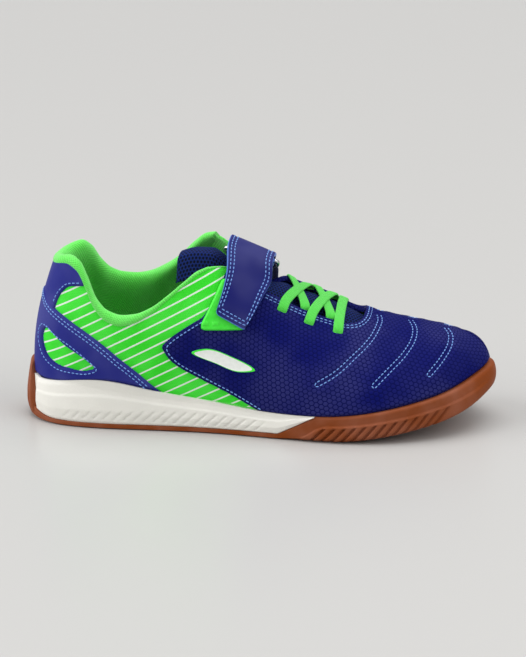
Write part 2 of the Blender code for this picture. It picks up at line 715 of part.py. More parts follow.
def make_outsole(paint):
    ribs = np.arange(RIB_FIRST, RIB_LAST + 0.1, RIB_PITCH)
    grooves = np.concatenate([ribs, HEEL_GROOVES])
    extra = np.concatenate([[c - 1.5, c, c + 1.5] for c in grooves])
    tab_x = LENGTH * (1 - math.cos(TAB_HALF_TURN)) / 2
    extra = np.concatenate([extra, [tab_x * 0.9, tab_x * 1.15]])
    extra = np.concatenate([extra, [MID_END_LOW, MID_PLATE_END, CUP_START, 141, 145.5, MID_TIP]])
    lateral = sole_columns(extra)
    angle = both_sides(lateral)
    x = station_x(angle)
    around = np.minimum(angle, 2 * HALF_TURN - angle)
    tab = around < TAB_HALF_TURN * 0.975
    zone = ease(140, 150, x) * (1 - ease(212, 226, x))
    rib = (1 - groove_at(x, ribs, 0.5)) * ease(146, 150, x) * (1 - ease(212, 222, x)) * RIB_OUT
    bottom = tread_edge(angle)
    top = gum_top(angle)
    band = bottom + 0.52 * (top - bottom)
    bare = 0.8
    leaning = lean_forward(angle, RIB_LEAN, zone)
    rim, low = gum_inner(angle)
    rings = [
        sole_ring(angle, bottom, 4.0),
        sole_ring(angle, bottom + 0.22 * (top - bottom), bare + 1.0 - rib),
        sole_ring(leaning, band, bare - rib),
        sole_ring(leaning, band + 0.3 + 0.04 * (top - bottom), bare),
        sole_ring(angle, top - 0.15 * (top - band), bare),
        sole_ring(angle, top, bare + 0.7),
        rim,
        low,
    ]
    back = seat_ring(angle, np.full(len(angle), TAB_TOP), OVERLAY_GAP + OVERLAY + SEAT_GAP)
    outer = seat_ring(angle, np.full(len(angle), TAB_TOP), OVERLAY_GAP + OVERLAY + SEAT_GAP + 1.5)
    tabbed = [
        rings[0],
        sole_ring(angle, bottom + 1.2, 1.4),
        sole_ring(angle, np.full(len(angle), 5.0), 0.3),
        sole_ring(angle, np.full(len(angle), 11.0), 0.0),
        outer * 0.5 + sole_ring(angle, np.full(len(angle), 11.0), 0.0) * 0.5,
        outer,
        back,
        sole_ring(angle, np.full(len(angle), GUM_PLATE), TAB_THICK),
    ]
    rings = [np.where(tab[:, None], b, a) for a, b in zip(rings, tabbed)]
    groove = groove_at(station_x(lateral), grooves, 0.5) * GROOVE_DEEP
    arch = ease(76, 92, station_x(lateral)) * (1 - ease(118, 134, station_x(lateral)))

    def tread(row, k):
        return row[:, 2] + groove + arch * (1.2, 1.8, 2.2)[k] * 0.8

    def inner_floor(row, k):
        return row[:, 2]

    return drop_loose(loft("outsole", np.stack(rings), ((0.05, 0.5, 0.95), tread), ((), inner_floor), paint))


def horseshoe(name, rings, plate, paint):
    """Solid of open sections along a U, joined across into a plate behind, with two horns in front."""
    count, cols = rings.shape[:2]
    size = count * cols
    index = np.arange(size).reshape(count, cols)
    faces = []
    for c in range(cols - 1):
        for r in range(count - 1):
            faces.append((index[r, c], index[r, c + 1], index[r + 1, c + 1], index[r + 1, c]))
        if not (plate[c] and plate[c + 1]):
            faces.append((index[-1, c], index[-1, c + 1], index[0, c + 1], index[0, c]))
    for c in range(cols // 2):
        if plate[c]:
            for r in (0, -1):
                corners = (index[r, c], index[r, c + 1], index[r, cols - 2 - c], index[r, cols - 1 - c])
                faces.append(tuple(dict.fromkeys(corners)))
    front = int(np.argmax(plate))
    faces.append((index[0, front], index[-1, front], index[-1, cols - 1 - front], index[0, cols - 1 - front]))
    faces.append(tuple(index[:, 0]))
    faces.append(tuple(index[:, -1]))
    faces = [tuple(int(i) for i in face) for face in faces]
    return finish(name, rings.reshape(-1, 3), faces, paint)


def make_midsole(paint):
    tab_x = LENGTH * (1 - math.cos(TAB_HALF_TURN)) / 2
    extra = [tab_x * 1.17, tab_x * 1.55, MID_END_LOW, MID_PLATE_END, CUP_START, 141, 145.5, MID_TIP]
    lateral = sole_columns(extra)
    x = station_x(lateral)
    lateral = lateral[(x <= MID_PLATE_END + 0.01) | ((x > CUP_START - 0.1) & (x < MID_TIP + 0.1))]
    angle = np.concatenate([lateral[::-1], 2 * HALF_TURN - lateral[1:]])
    plate = station_x(angle) < MID_PLATE_END + 0.1
    around = np.minimum(angle, 2 * HALF_TURN - angle)
    tab = around < TAB_HALF_TURN * 1.12
    top = gum_top(angle)
    wall = WALL_TOP(angle)
    seat = SEAT(angle)
    rim = gum_inner(angle)[1]
    share = np.array([0.0, 0.35, 0.75, 1.0])[:, None]
    rise = share * (wall - top - 0.5)[None, :]
    back_x = seat_ring(np.zeros(1), np.array([TAB_TOP]), OVERLAY_GAP + OVERLAY + SEAT_GAP)[0, 0]
    hidden = np.where(tab, TAB_THICK + 1.1 + (back_x - TAB_THICK) * rise / (TAB_TOP - GUM_PLATE), 0.0)
    under = np.where(plate[:, None], rim, seat_ring(angle, np.maximum(top + 0.5, seat), SEAT_GAP + 0.1))
    under[:, 2] = top + 0.5
    inside = np.where(plate, seat - 0.4, (wall + top + 0.5) / 2)
    floor = seat_ring(angle, np.maximum(inside, seat), np.where(plate, 2.2, 1.1)[:, None] * SEAT_GAP)
    floor[:, 2] = inside
    rings = np.stack([
        under,
        sole_ring(angle, top + 0.5, np.maximum(hidden[0], 1.3)),
        sole_ring(angle, top + 0.5 + rise[1], np.maximum(hidden[1], 0.5)),
        sole_ring(angle, top + 0.5 + rise[2], np.maximum(hidden[2], 1.3)),
        sole_ring(angle, wall, np.maximum(hidden[3], 1.8)),
        seat_ring(angle, wall, SEAT_GAP),
        floor,
    ])
    return horseshoe("midsole", rings, plate, paint)


def make_insole(paint):
    angle = both_sides(np.linspace(0, HALF_TURN, 29))
    inside = last(angle, 0.02) - last_normal(angle, np.full(len(angle), 0.02)) * (WALL + 0.6)
    low, high = inside.copy(), inside.copy()
    low[:, 2] = SEAT(angle) + 0.1
    high[:, 2] = SEAT(angle) + 2.4

    def level(row, k):
        return row[:, 2]

    return drop_loose(loft("insole", np.stack([low, high]), ((), level), ((), level), paint))


def make_tongue(paint):
    x = np.concatenate([[77.5, 78.5, 80.5, 84], np.linspace(90, 170, 11), [174, 178]])
    across = np.linspace(-1, 1, 9)
    half = TONGUE_HALF(x)
    away = across[:, None] * half[None, :]
    middle = CENTRE(turn_of(np.clip(x + 2, 0, LENGTH)))
    radius = 25.0
    fall = radius - np.sqrt(radius ** 2 - away ** 2) + 6.5 * ease(12, 17.5, np.abs(away)) * ease(104, 120, x)
    wing = TONGUE_WING * ease(0.5, 1.0, np.abs(across))[:, None] * (1 - ease(98, 108, x))
    rise = TONGUE_FOLLOW * instep_rise(x, middle + away)
    outer = stack(np.broadcast_to(x, away.shape), middle + away, TONGUE_Z(x) - fall - wing + rise)
    along = np.gradient(outer, axis=1)
    over = np.gradient(outer, axis=0)
    normal = unit(np.cross(along, over))
    thick = 2.0 + 2.2 * (1 - np.abs(across[:, None]) ** 3) * np.ones_like(away)
    return shell("tongue", outer, outer - normal * thick[..., None], np.zeros(len(x), bool), False, paint)


def side_point(x, z, lift, side=-1):
    """Point on one side of the upper at x and z, raised off the surface. The lateral side is -1."""
    low, high = float(turn_of(x - 25)), float(turn_of(x + 25))
    for _ in range(30):
        turn = (low + high) / 2
        angle = np.array([turn if side < 0 else 2 * HALF_TURN - turn])
        climb = climb_at(angle, np.array([z]))
        if last(angle, climb)[0, 0] < x:
            low = turn
        else:
            high = turn
    return (last(angle, climb) + last_normal(angle, climb) * lift)[0]


def arch_point(x, away, lift):
    """Point over the instep at x and a distance from its middle line, raised off the last."""
    middle = float(CENTRE(turn_of(x + 2)))
    goal = np.array([x, middle + away])
    turn = float(turn_of(x + 2))
    state = np.array([turn if away < 0 else 2 * HALF_TURN - turn, 1 - min(abs(away), 40) / 70])
    for _ in range(25):
        here = last(state[:1], state[1:])[0, :2]
        step = 1e-4
        turned = last(state[:1] + step, state[1:])[0, :2] - here
        raised = last(state[:1], state[1:] - step)[0, :2] - here
        move = np.linalg.lstsq(np.stack([turned, -raised], 1) / step, goal - here, rcond=None)[0]
        state = state + np.clip(move, -0.1, 0.1)
        state[1] = np.clip(state[1], 0.02, 0.99999)
    normal = last_normal(state[:1], np.minimum(state[1:], 0.995))
    return (last(state[:1], state[1:]) + normal * lift)[0]


def lace_point(x, away, lift):
    """Point of a lace: on the vamp beside the throat, and nearly straight across inside it."""
    if abs(away) >= LACE_SPAN:
        return arch_point(x, away, lift)
    share = (away + LACE_SPAN) / (2 * LACE_SPAN)
    point = arch_point(x, -LACE_SPAN, lift) * (1 - share) + arch_point(x, LACE_SPAN, lift) * share
    point[2] += LACE_CROWN * (1 - (away / LACE_SPAN) ** 2)
    return point


def ring_frame():
    """Middle of the ring's near bar, directions along the bar, down the side and off the shoe."""
    across = unit(RING_ACROSS)
    down = unit(np.array(RING_DOWN) - across * (np.array(RING_DOWN) @ across))
    out = unit(np.cross(across, down))
    return np.array(RING_BAR), across, down, out * np.sign(out[2])


def strap_grid():
    """Inner face of the strap: rows along it from the tip to the fold behind the ring, columns across."""
    shares = np.linspace(-0.5, 0.5, 5)
    side_across = unit(STRAP_ACROSS)
    bar, ring_across, down, out = ring_frame()
    bend = WIRE + 0.35
    turns = np.linspace(0, HALF_TURN, 7)
    columns = []
    for share, cut in zip(shares, STRAP_TIP):
        side = []
        for k, (rear, fore) in enumerate(zip(STRAP_REAR, STRAP_FORE)):
            x, z = (a * (0.5 - share) + b * (0.5 + share) for a, b in zip(rear, fore))
            side.append(side_point(x, z + (cut if k == 0 else 0.0), STRAP_LIFT))
        crest = [np.array(p) + side_across * STRAP_WIDE * share for p in STRAP_CREST]
        hub = bar + ring_across * STRAP_WIDE * share
        top = np.concatenate([side, crest, [hub + out * bend - down * 2.2]])
        line = curve_through(top, 22)
        wrap = np.array([hub + bend * (out * math.cos(t) + down * math.sin(t)) for t in turns])
        back = np.array([hub - out * bend - down * d for d in (3.0, 6.5)])
        columns.append(np.concatenate([line, wrap, back]))
    return np.stack(columns, 1)


def make_strap(paint):
    grid = strap_grid()
    along = np.gradient(grid, axis=0)
    over = np.gradient(grid, axis=1)
    normal = unit(np.cross(along, over))
    if normal[3, 2, 1] > 0:
        normal = -normal
    outer = grid + normal * STRAP_THICK
    rows = len(grid)
    none = np.zeros(rows, bool)
    return shell("strap", outer.transpose(1, 0, 2), grid.transpose(1, 0, 2), none, False, paint)


def make_strap_base(paint):
    stations = np.array([91, 92, 94, 97, 100, 102.5, 106, 109.5, 112, 114, 116.5, 119])
    angle = turn_of(stations)
    low = climb_at(angle, smooth_line(BASE, BASE_COLUMNS, "low")(stations))
    high = climb_at(angle, smooth_line(BASE, BASE_COLUMNS, "high")(stations))
    lift = 3.4 * OVERLAY_GAP + OVERLAY
    return overlay("strap_base", angle, low, high, np.zeros(len(angle), bool), paint, lift, 0.9, 6)


def make_strap_ring(paint):
    """Rectangular wire ring with rounded corners."""
    bar, across, down, out = ring_frame()
    corner = 2.2
    half_w, half_d = RING_WIDE / 2, RING_DEEP / 2
    path = []
    for sx, sy, start in ((1, 1, 0), (-1, 1, 90), (-1, -1, 180), (1, -1, 270)):
        for k in range(5):
            t = math.radians(start + 22.5 * k)
            u = sx * (half_w - corner) + corner * math.cos(t)
            path.append((u, sy * (half_d - corner) + corner * math.sin(t)))
    path = np.array(path)
    ahead = np.roll(path, -1, 0) - np.roll(path, 1, 0)
    ahead = ahead / np.linalg.norm(ahead, axis=1, keepdims=True)
    side = np.stack([ahead[:, 1], -ahead[:, 0]], 1)
    sides = 8
    points = []
    for (u, v), (a, b) in zip(path, side):
        hub = bar + across * u + down * (v + half_d)
        flat = across * a + down * b
        for k in range(sides):
            t = 2 * HALF_TURN * k / sides
            points.append(hub + WIRE * (flat * math.cos(t) + out * math.sin(t)))
    count = len(path)
    faces = []
    for i in range(count):
        n = (i + 1) % count
        for k in range(sides):
            m = (k + 1) % sides
            faces.append((i * sides + k, i * sides + m, n * sides + m, n * sides + k))
    return finish("strap_ring", points, faces, paint)


def make_ring_tab(paint):
    """Webbing round the ring's outer bar, lying on the medial side below it."""
    bar, across, down, out = ring_frame()
    bar = bar + down * RING_DEEP + across * RING_TAB_SHIFT
    bend = WIRE + 0.35
    turns = np.linspace(HALF_TURN, 0, 7)
    wrap = [bar + bend * (out * math.cos(t) - down * math.sin(t)) for t in turns]
    tail = [side_point(bar[0] + 0.4, z, 3.9, 1) for z in TAB_HEIGHTS]
    path = np.array([wrap[0] + down * 2.0] + wrap + tail)
    along = unit(np.gradient(path, axis=0))
    normal = unit(np.cross(along, across))
    if normal[4] @ (path[4] - bar) < 0:
        normal = -normal
    return ribbon("ring_tab", path, np.broadcast_to(across, path.shape), normal, RING_TAB_WIDE, 1.2, paint)


def lace(name, ends, lift, paint):
    """Flat lace over the throat between two places on the instep."""
    (x0, a0), (x1, a1) = ends
    share = np.linspace(0, 1, 13)
    path = np.array([lace_point(x0 + (x1 - x0) * t, a0 + (a1 - a0) * t, lift) for t in share])
    along = unit(np.gradient(path, axis=0))
    above = np.array([lace_point(x0 + (x1 - x0) * t, a0 + (a1 - a0) * t, lift + 1) for t in share]) - path
    across = unit(np.cross(along, above))
    return ribbon(name, path, across, unit(np.cross(across, along)), LACE_WIDE, LACE_THICK, paint)


def make_laces(paint):
    lift = OVERLAY_GAP + OVERLAY + 0.85
    lace("lace_bar_front", LACE_FRONT, lift, paint)
    for name, over, under in (
        ("lace_cross_middle", LACE_MIDDLE, LACE_MIDDLE_UNDER),
        ("lace_cross_rear", LACE_REAR, LACE_REAR_UNDER),
    ):
        top = lace(name, over, lift + LACE_THICK - 0.3, paint)
        strand = lace(name + "_under", under, lift, paint)
        boolean(top, strand, "UNION")


def main():
    clear_scene()
    blue = material("blue_leather", BLUE, 0.5)
    green = material("green_textile", GREEN, 0.6)
    gum = material("gum_rubber", GUM, 0.55)
    elastic = material("green_elastic", GREEN, 0.7)
    make_upper(green)
    make_vamp_panel(blue)
    make_heel_counter(blue)
    make_heel_patch(blue)
    make_outsole(gum)
    make_midsole(material("white_foam", WHITE, 0.6))
    make_insole(material("lining_foam", NAVY, 0.8))
    make_tongue(material("navy_mesh", NAVY, 0.8))
    make_strap(material("strap_leather", BLUE, 0.5))
    make_strap_base(material("green_plate", GREEN, 0.5))
    make_strap_ring(material("steel_wire", STEEL, 0.25, 1.0))
    make_ring_tab(material("webbing", BLUE, 0.8))
    make_laces(elastic)


main()
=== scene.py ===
"""Looks of a right indoor sports shoe with a strap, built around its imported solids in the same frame."""
import math
from collections import Counter

import bmesh
import bpy
import numpy as np
from bpy.props import FloatProperty, FloatVectorProperty, PointerProperty
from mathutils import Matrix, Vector, kdtree


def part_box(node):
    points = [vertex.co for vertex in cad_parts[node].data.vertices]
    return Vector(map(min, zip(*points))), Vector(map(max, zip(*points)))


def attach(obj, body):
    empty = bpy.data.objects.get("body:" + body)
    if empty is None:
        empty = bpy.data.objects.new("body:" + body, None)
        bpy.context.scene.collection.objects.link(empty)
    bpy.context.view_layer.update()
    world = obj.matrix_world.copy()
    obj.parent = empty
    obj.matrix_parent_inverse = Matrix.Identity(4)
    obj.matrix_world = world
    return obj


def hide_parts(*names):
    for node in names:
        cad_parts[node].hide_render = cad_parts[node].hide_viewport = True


bl_info = {
    "name": "Indoor sports shoe",
    "version": (1, 0, 0),
    "blender": (4, 5, 0),
    "location": "3D View > Sidebar > Shoe",
    "description": "Builds the textile, leather, foam and rubber of an indoor shoe around its solids",
    "category": "Object",
}

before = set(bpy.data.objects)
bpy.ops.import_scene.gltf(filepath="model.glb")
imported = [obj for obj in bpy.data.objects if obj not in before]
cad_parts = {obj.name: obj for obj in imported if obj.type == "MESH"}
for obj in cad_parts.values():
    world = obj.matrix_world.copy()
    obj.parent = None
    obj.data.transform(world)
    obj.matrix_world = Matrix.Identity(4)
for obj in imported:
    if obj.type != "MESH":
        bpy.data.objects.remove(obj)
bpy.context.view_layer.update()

MM = 0.001
HALF_TURN = math.pi
FULL_TURN = 2 * math.pi
TINY = 1e-9
HEXAGON = 0.8660254
WELDS_PER_MM = 2000
SOLE_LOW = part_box("outsole")[0]
LENGTH = 238.0
MIDDLE_Y = 0.15
ORIGIN = np.array([-SOLE_LOW.x / MM, MIDDLE_Y, 0.0])

# Tables of the last in millimetres from the heel
# Outlines of the sole and of the foot, lateral side negative
OUTLINE_COLUMNS = ("x", "sole_lat", "sole_med", "foot_lat", "foot_med")
OUTLINE = (
    (0, 0, 0, 0, 0), (8, -19, 18.5, -16.5, 16), (22, -27.5, 27, -24.6, 24.2),
    (45, -31.5, 30, -28.4, 27), (72, -32.5, 29.5, -29.4, 26.4), (96, -34, 29.5, -31, 26.6),
    (118, -37.5, 32, -34.6, 29.2), (138, -41.5, 37, -38.8, 34.4),
    (160, -44.5, 42.5, -41.6, 39.6), (182, -43.5, 45, -40.6, 42.2), (202, -37, 43, -34.2, 40.3),
    (218, -26, 37, -23.6, 34.5), (230, -11.5, 27, -9.5, 24.8), (238, 7, 7, 7, 7),
)
# Heights at the same stations, then the lean and pull of the wall
HEIGHT_COLUMNS = ("x", "bottom", "wall_top", "seat", "lean", "foot_pull")
HEIGHTS = (
    (0, 1.2, 21.8, 12, 6, 0.45), (8, 0.2, 21.4, 12, 7, 0.45), (22, 0, 23, 12, 8, 0.44),
    (45, 0, 24.8, 12, 9, 0.44), (72, 0, 20, 11, 9, 0.44), (96, 0, 16.6, 9.5, 9, 0.45),
    (118, 0, 13.7, 8.2, 9, 0.46), (138, 0, 12.8, 7.2, 9, 0.48), (160, 0, 13.2, 6.8, 9, 0.50),
    (182, 2.2, 15.8, 7.8, 10, 0.52), (202, 5.4, 19.2, 10.4, 12, 0.52),
    (218, 8.6, 22.6, 13.8, 14, 0.52), (230, 12.6, 26.4, 17, 15, 0.52),
    (238, 17, 29.6, 19, 15, 0.52),
)
# Ends of the meridians: a standing rim behind, the ridge of the instep in front
HEAD_COLUMNS = ("x", "head_x", "head_z", "centre", "spread", "tilt", "head_pull")
HEADS = (
    (0, 20.5, 92, 0, 0, 72, 0.30), (8, 23, 92, 0, 11, 73, 0.30),
    (22, 31.5, 92, 0, 18, 75, 0.30), (45, 50, 93, 0, 20.5, 76, 0.30),
    (72, 74, 97, 0.5, 20, 74, 0.30), (96, 97, 96, 1.5, 10, 50, 0.30),
    (118, 117, 82, 2.5, 0, 10, 0.26), (138, 136, 69, 3.5, 0, 0, 0.25),
    (160, 157, 59.4, 4.5, 0, 0, 0.26), (182, 178, 52.8, 5.5, 0, 0, 0.30),
    (202, 196, 48.8, 6.5, 0, 0, 0.34), (218, 208.5, 46.4, 7, 0, 0, 0.38),
    (230, 215, 44.8, 7.5, 0, 0, 0.41), (238, 218, 44, 8, 0, 0, 0.43),
)
UPPER_HEEL_X = 6.4
UPPER_TOE_X = 233.2
# Where the standing rim ends, where the heads start to follow the ridge's slope, and the slopes allowed
RIM_END = 117.9
RIDGE_START = (100.0, 122.0)
RIDGE_SLOPES = (-0.6, 0.1)
# Climb that counts as the ridge, steps of a search, and how far heads lie behind their stations
RIDGE_CLIMB, CLIMB_STEPS, HEAD_BEHIND = 0.9999, 241, 2.0
# Top line of the collar: x, lateral and medial height
TOPLINE = (
    (8, 80, 80), (14, 81, 81), (20, 83.5, 83.5), (26, 85, 85), (31, 82.5, 81.5), (35, 76, 74.5),
    (40, 65.5, 69), (46, 59.5, 66.6), (53, 57.5, 66), (60, 58.4, 67.2), (68, 62, 71),
    (76, 68, 76.5), (84, 74.6, 84.6), (91, 79.8, 90), (98, 81.8, 91.4), (106, 82, 90),
    (114, 82, 88),
)
# Throat: half width and its share behind, front end, and how round its corners are
THROAT_HALF = 18.5
THROAT_REAR_SHARE, THROAT_GAIN, THROAT_GAINS = 0.72, 0.28, (98.0, 122.0)
THROAT_FRONT = 172.0
THROAT_CORNER, THROAT_POWER = 15.0, 3.2
THROAT_SOFT = 3.0
THROAT_START, COLLAR_END = 96.0, 120.0
QUARTER_WIDER, WIDER_FROM = 1.8, (108.0, 116.0)
# The instep stands higher on the medial side: the rise and where it starts and ends along and across
INSTEP_RISE = 6.8
RISE_ALONG = (121.0, 132.0, 148.0, 178.0)
RISE_ACROSS = (-16.0, 20.0, 22.0, 42.0)
# Overlays: how far their edges sink, how deep the hem goes behind the sole, and where it turns in
EDGE_SINK = 0.3
HEM_DEPTH = 4.0
HEM_TUCK = (-0.6, 1.6)
QUARTER_WALL, QUARTER_TUCK = 2.0, 0.9
# Rear part of the side panel: station, heights of its lower and upper borders
PANEL = (
    (70.6, 42.4, 44), (73, 38.6, 46.4), (76.6, 35.1, 49.2), (82.5, 31.6, 53),
    (87.2, 29.4, 55.8), (91.8, 27.2, 58.6), (97, 24.9, 67), (101.8, 22.8, 76), (106, 20.8, 85),
    (114, 16.8, 99), (123, 12.2, 110),
)
# Heel counter: station and height of its upper border
COUNTER = (
    (0, 65.6), (3, 64.4), (8, 61.2), (13, 58.6), (18, 56.2), (24, 53),
    (34, 47.2), (42, 41.6), (49, 36), (55, 31.6), (69, 20),
)
# Heel patch: station and height of its lower border
PATCH = (
    (0, 62), (3, 61), (8, 57.6), (11.8, 56), (12.6, 59.4),
    (13.4, 62.6), (15.6, 67), (20, 70.6), (27, 71.4),
)
# Patch: share of the leather's thickness, end station, and climb left free under the top line
PATCH_THICK, PATCH_REACH, PATCH_BELOW = 0.7, 28.5, 0.035
# Ends of the counter and of the panel by station, and how far the panel's two borders are free
COUNTER_REACH = 69.4
PANEL_REACH, PANEL_FREE, PANEL_HEM = 70.6, 114.0, 123.0
# Window in the heel counter, seen from the side
TEARDROP = (
    (14.1, 48), (11.6, 43.4), (12.4, 38.4), (14.8, 34), (19.2, 31.2), (27, 29.7),
    (35, 29.3), (39.4, 31), (35.4, 34.9), (30.4, 38), (25, 41), (19.7, 44.8), (16.4, 47.4),
)
# Plate under the strap's end: station and heights of its borders, raised marks and thickness
BASE = (
    (91, 53, 55.4), (93, 52.2, 59), (97, 52.2, 67), (101.8, 52.2, 75.4),
    (112, 52.2, 74), (115, 59, 73), (119, 67.5, 71.5),
)
BASE_MARKS = ((95.2, 55.4), (100.4, 55.4))
BASE_MARK_HALF, BASE_MARK_HIGH = (1.5, 0.85), 0.3
BASE_LIFT, BASE_THICK, BASE_BACK, BASE_EDGE = 1.2, 2.0, 0.9, 1.1
# Tongue: x, height and half width, then its roundness, wings, padding and edges
TONGUE = (
    (77.5, 82.4, 10.5), (80, 84.2, 12), (88, 86, 12.5), (95, 85.8, 12.5), (104, 80, 12.5),
    (110, 77.6, 13.5), (117, 73.8, 16), (124, 67.8, 17.4), (131, 63.8, 17.4), (139, 60.4, 17.4),
    (152, 56.2, 17.6), (164, 53, 17.6), (172, 50.4, 17.8), (178, 48.5, 17.4),
)
TONGUE_ROUND, TONGUE_WING, TONGUE_FOLLOW = 25.0, 9.0, 0.7
TONGUE_SIDES, TONGUE_FALLS, TONGUE_WINGS = (12.0, 17.5), (104.0, 120.0), (98.0, 108.0)
TONGUE_EDGE_THICK, TONGUE_PAD, TONGUE_SIDE_FALL, TONGUE_EDGE = 2.0, 2.2, 6.5, 2.4
# Strap: its sizes, then its rear and front edges on the lateral side from its end up, as x and z
STRAP_WIDE, STRAP_THICK, STRAP_LIFT = 24.0, 2.0, 3.6
STRAP_EDGE, STRAP_EDGE_SHARE, STRAP_GAIN = 0.9, 0.55, 0.45
STRAP_SAG, STRAP_SAG_AWAY, STRAP_SAG_WIDE = 0.25, 2.9, 1.5
STRAP_OFF_WIRE = 0.35
STRAP_REAR = ((100.2, 59.6), (100.9, 63.6), (102.4, 69.5), (103.3, 76))
STRAP_FORE = ((114.5, 51.4), (118.6, 59.6), (121.6, 65.2), (124.3, 71))
# Cut of the strap's end: share of its width, and way cut off
STRAP_TIP = ((-0.5, 1.5), (-0.47, 0.45), (-0.42, 0), (0.36, 0), (0.44, 0.3), (0.48, 1.0), (0.5, 2.0))
# Strap over the instep, the wire ring on the medial side and the tab that holds it
STRAP_ACROSS = (0.92, 0.0, -0.39)
STRAP_CREST = ((115, -8, 85.6), (115.4, 0, 87.3))
RING_ACROSS = (0.965, 0.0, -0.26)
RING_BAR = (114.4, 9, 81.4)
RING_DOWN = (0.0, 0.80, -0.60)
RING_WIDE, RING_DEEP, RING_CORNER, WIRE = 27.5, 6.2, 2.2, 1.1
RING_TAB_WIDE, RING_TAB_THICK, RING_TAB_SHIFT = 14.0, 1.2, 5.2
RING_TAB_OFF_WIRE, RING_TAB_LIFT = 0.95, 4.4
TAB_HEIGHTS = (70.5, 66.5, 63.0)
# Laces: section, height off the vamp, depth of their ends, and how one run passes over the other
LACE_WIDE, LACE_THICK = 5.0, 1.3
LACE_LIFT, LACE_SINK = 2.4, 3.4
LACE_SPAN, LACE_CROWN = 18.5, 1.8
LACE_STEEP, LACE_SLOW = 1.8, 6.0
LACE_UNDER, LACE_OVER = -0.15, 1.15
LACE_RISE, LACE_FALL = (6.0, 11.0), (2.0, 8.0)
LACE_SOFT, LACE_TURN_SOFT = 12, 30
# Ends of the laces as x and distance from the middle line
LACE_FRONT = ((159.2, -25.5), (159.6, 25.5))
LACE_MIDDLE = ((144.4, -25), (155.6, 17.5))
LACE_MIDDLE_UNDER = ((155.6, -17.5), (144.4, 25))
LACE_REAR = ((131, -24), (143, 17.5))
LACE_REAR_UNDER = ((143, -17.5), (131, 24.5))
# Sewn arcs over the vamp, points from the ridge down the lateral side
ARCS = (
    ((179.2, 0.6, 54.9), (180.0, -3.4, 53.7), (179, -11.1, 51.1), (176, -19.6, 47.1),
     (167.9, -29.9, 40.2), (158.6, -36.6, 32.8), (150.6, -39, 28.3)),
    ((194.8, 4.3, 51.8), (197.2, -3.8, 49.5), (196.9, -12.4, 46.2), (193.1, -22.2, 41.2),
     (185.1, -32.2, 34.3), (178.3, -37.9, 28.1)),
    ((213, 4.2, 48.6), (215.3, -1.6, 46.5), (215.2, -9.2, 43.2), (210.9, -19.6, 37.3), (205, -27.6, 31.6)),
)
ARC_ROWS_APART = 2.2
# Trough along an arc and the swell beside it: depth, distance and width
ARC_TROUGH, ARC_TROUGH_WIDE = 0.34, 1.7
ARC_SWELL, ARC_SWELL_AWAY, ARC_SWELL_WIDE = 0.22, 3.6, 2.0
# Rows of stitches: distance from the edge that they follow
PANEL_SEAM, WINDOW_SEAM, PATCH_SEAM = 1.9, 1.9, 1.5
THROAT_SEAMS, COUNTER_SEAMS, STRAP_SEAMS = (-1.5, -3.1), (-1.6, -3.3), (1.9, 3.7)
# Plain slanted badge, as x and z of one side
BADGE = ((88.6, 41.6), (96, 43.4), (108, 40), (120, 33.2), (113, 32.4), (100.5, 36.4))
# Section of the badge from its border inward: share of its size and height
BADGE_SECTION = (
    (1.0, -0.2), (0.99, 0.30), (0.94, 0.42), (0.90, 0.42), (0.86, 0.36), (0.45, 0.36), (0.05, 0.36),
)
BADGE_BORDER = 3
BADGE_SINK = 0.05
# Lap over which a closed outline is drawn twice, as a share of its points
OUTLINE_LAP = 0.3
# Sole: gum plate and cup, midsole's slanted end, ribs and grooves
GUM_PLATE, GUM_INSET = 2.4, 1.0
SEAT_IN, SEAT_BELOW = -0.3, 0.4
MID_END_LOW, MID_END_HIGH, MID_TIP = 131.0, 150.0, 149.4
CUP_START, CUP_BLEND = 139.0, 2.0
PLATE_RIM, PLATE_FLOOR = 6.0, 7.0
RIB_FIRST, RIB_LAST, RIB_PITCH, RIB_OUT = 151.0, 211.0, 5.0, 1.0
RIB_LEAN, RIB_LEAN_FROM = 13.0, 0.3
RIB_ZONE = (RIB_FIRST - 4, RIB_FIRST - 2, RIB_LAST + 2, RIB_LAST + 4)
# Raised band of the cup: its top as a share of the wall, where that rises, and its ends
BAND_TOP, BAND_TOP_ALONG, BAND_ALONG = 0.64, (134.0, 157.0), (138.0, 150.0, 224.0, 237.0)
# Rounding of the gum wall at its foot and at its top: depth, and share of the wall
GUM_FOOT_ROUND, GUM_FOOT_SHARE = 2.6, 0.22
GUM_TOP_ROUND, GUM_TOP_SHARE = 0.7, 0.1
HEEL_GROOVES = (24.0, 36.0, 48.0, 60.0)
GROOVE_DEEP, GROOVE_BEND = 1.3, 3.0
RIB_GROOVE_DEEP = 1.35
ARCH, ARCH_DEEP = (76.0, 92.0, 118.0, 134.0), 1.7
TOE_BULGE, TOE_BULGE_ALONG = 1.4, (205.0, 232.0)
HEEL_RISE, HEEL_RISE_LONG, HEEL_RISE_POWER = 5.0, 20.0, 2.2
# Strokes in the midsole's wall: their ends along it, share of its height, and where that grows
STROKE_PITCH, STROKE_LEAN, STROKE_FIRST, STROKE_DEEP = 5.2, 1.1, 20.0, 0.4
STROKES_ALONG = (18.0, 26.0, 120.0, 128.0)
STROKE_SHARE, STROKE_MORE, STROKE_GROWS = 0.2, 0.3, (30.0, 110.0)
# Midsole: thickness, gap over the gum, least height, and the step in its wall
MIDSOLE_WALL, MIDSOLE_INSIDE, MIDSOLE_OVER_UPPER = 1.4, 4.2, 0.75
MIDSOLE_GAP, MIDSOLE_LEAST = 0.1, 0.15
MIDSOLE_STEP, MIDSOLE_STEP_AT = 0.4, (0.62, 0.68)
# Heel tab: half width as a turn, top, thickness, and how it covers the midsole behind it
TAB_HALF_TURN, TAB_TOP, TAB_THICK, TAB_BACK = 0.30, 29.0, 2.4, 2.8
TAB_FADE, TAB_COVER, TAB_BEHIND = 1.16, 0.6, 2.0
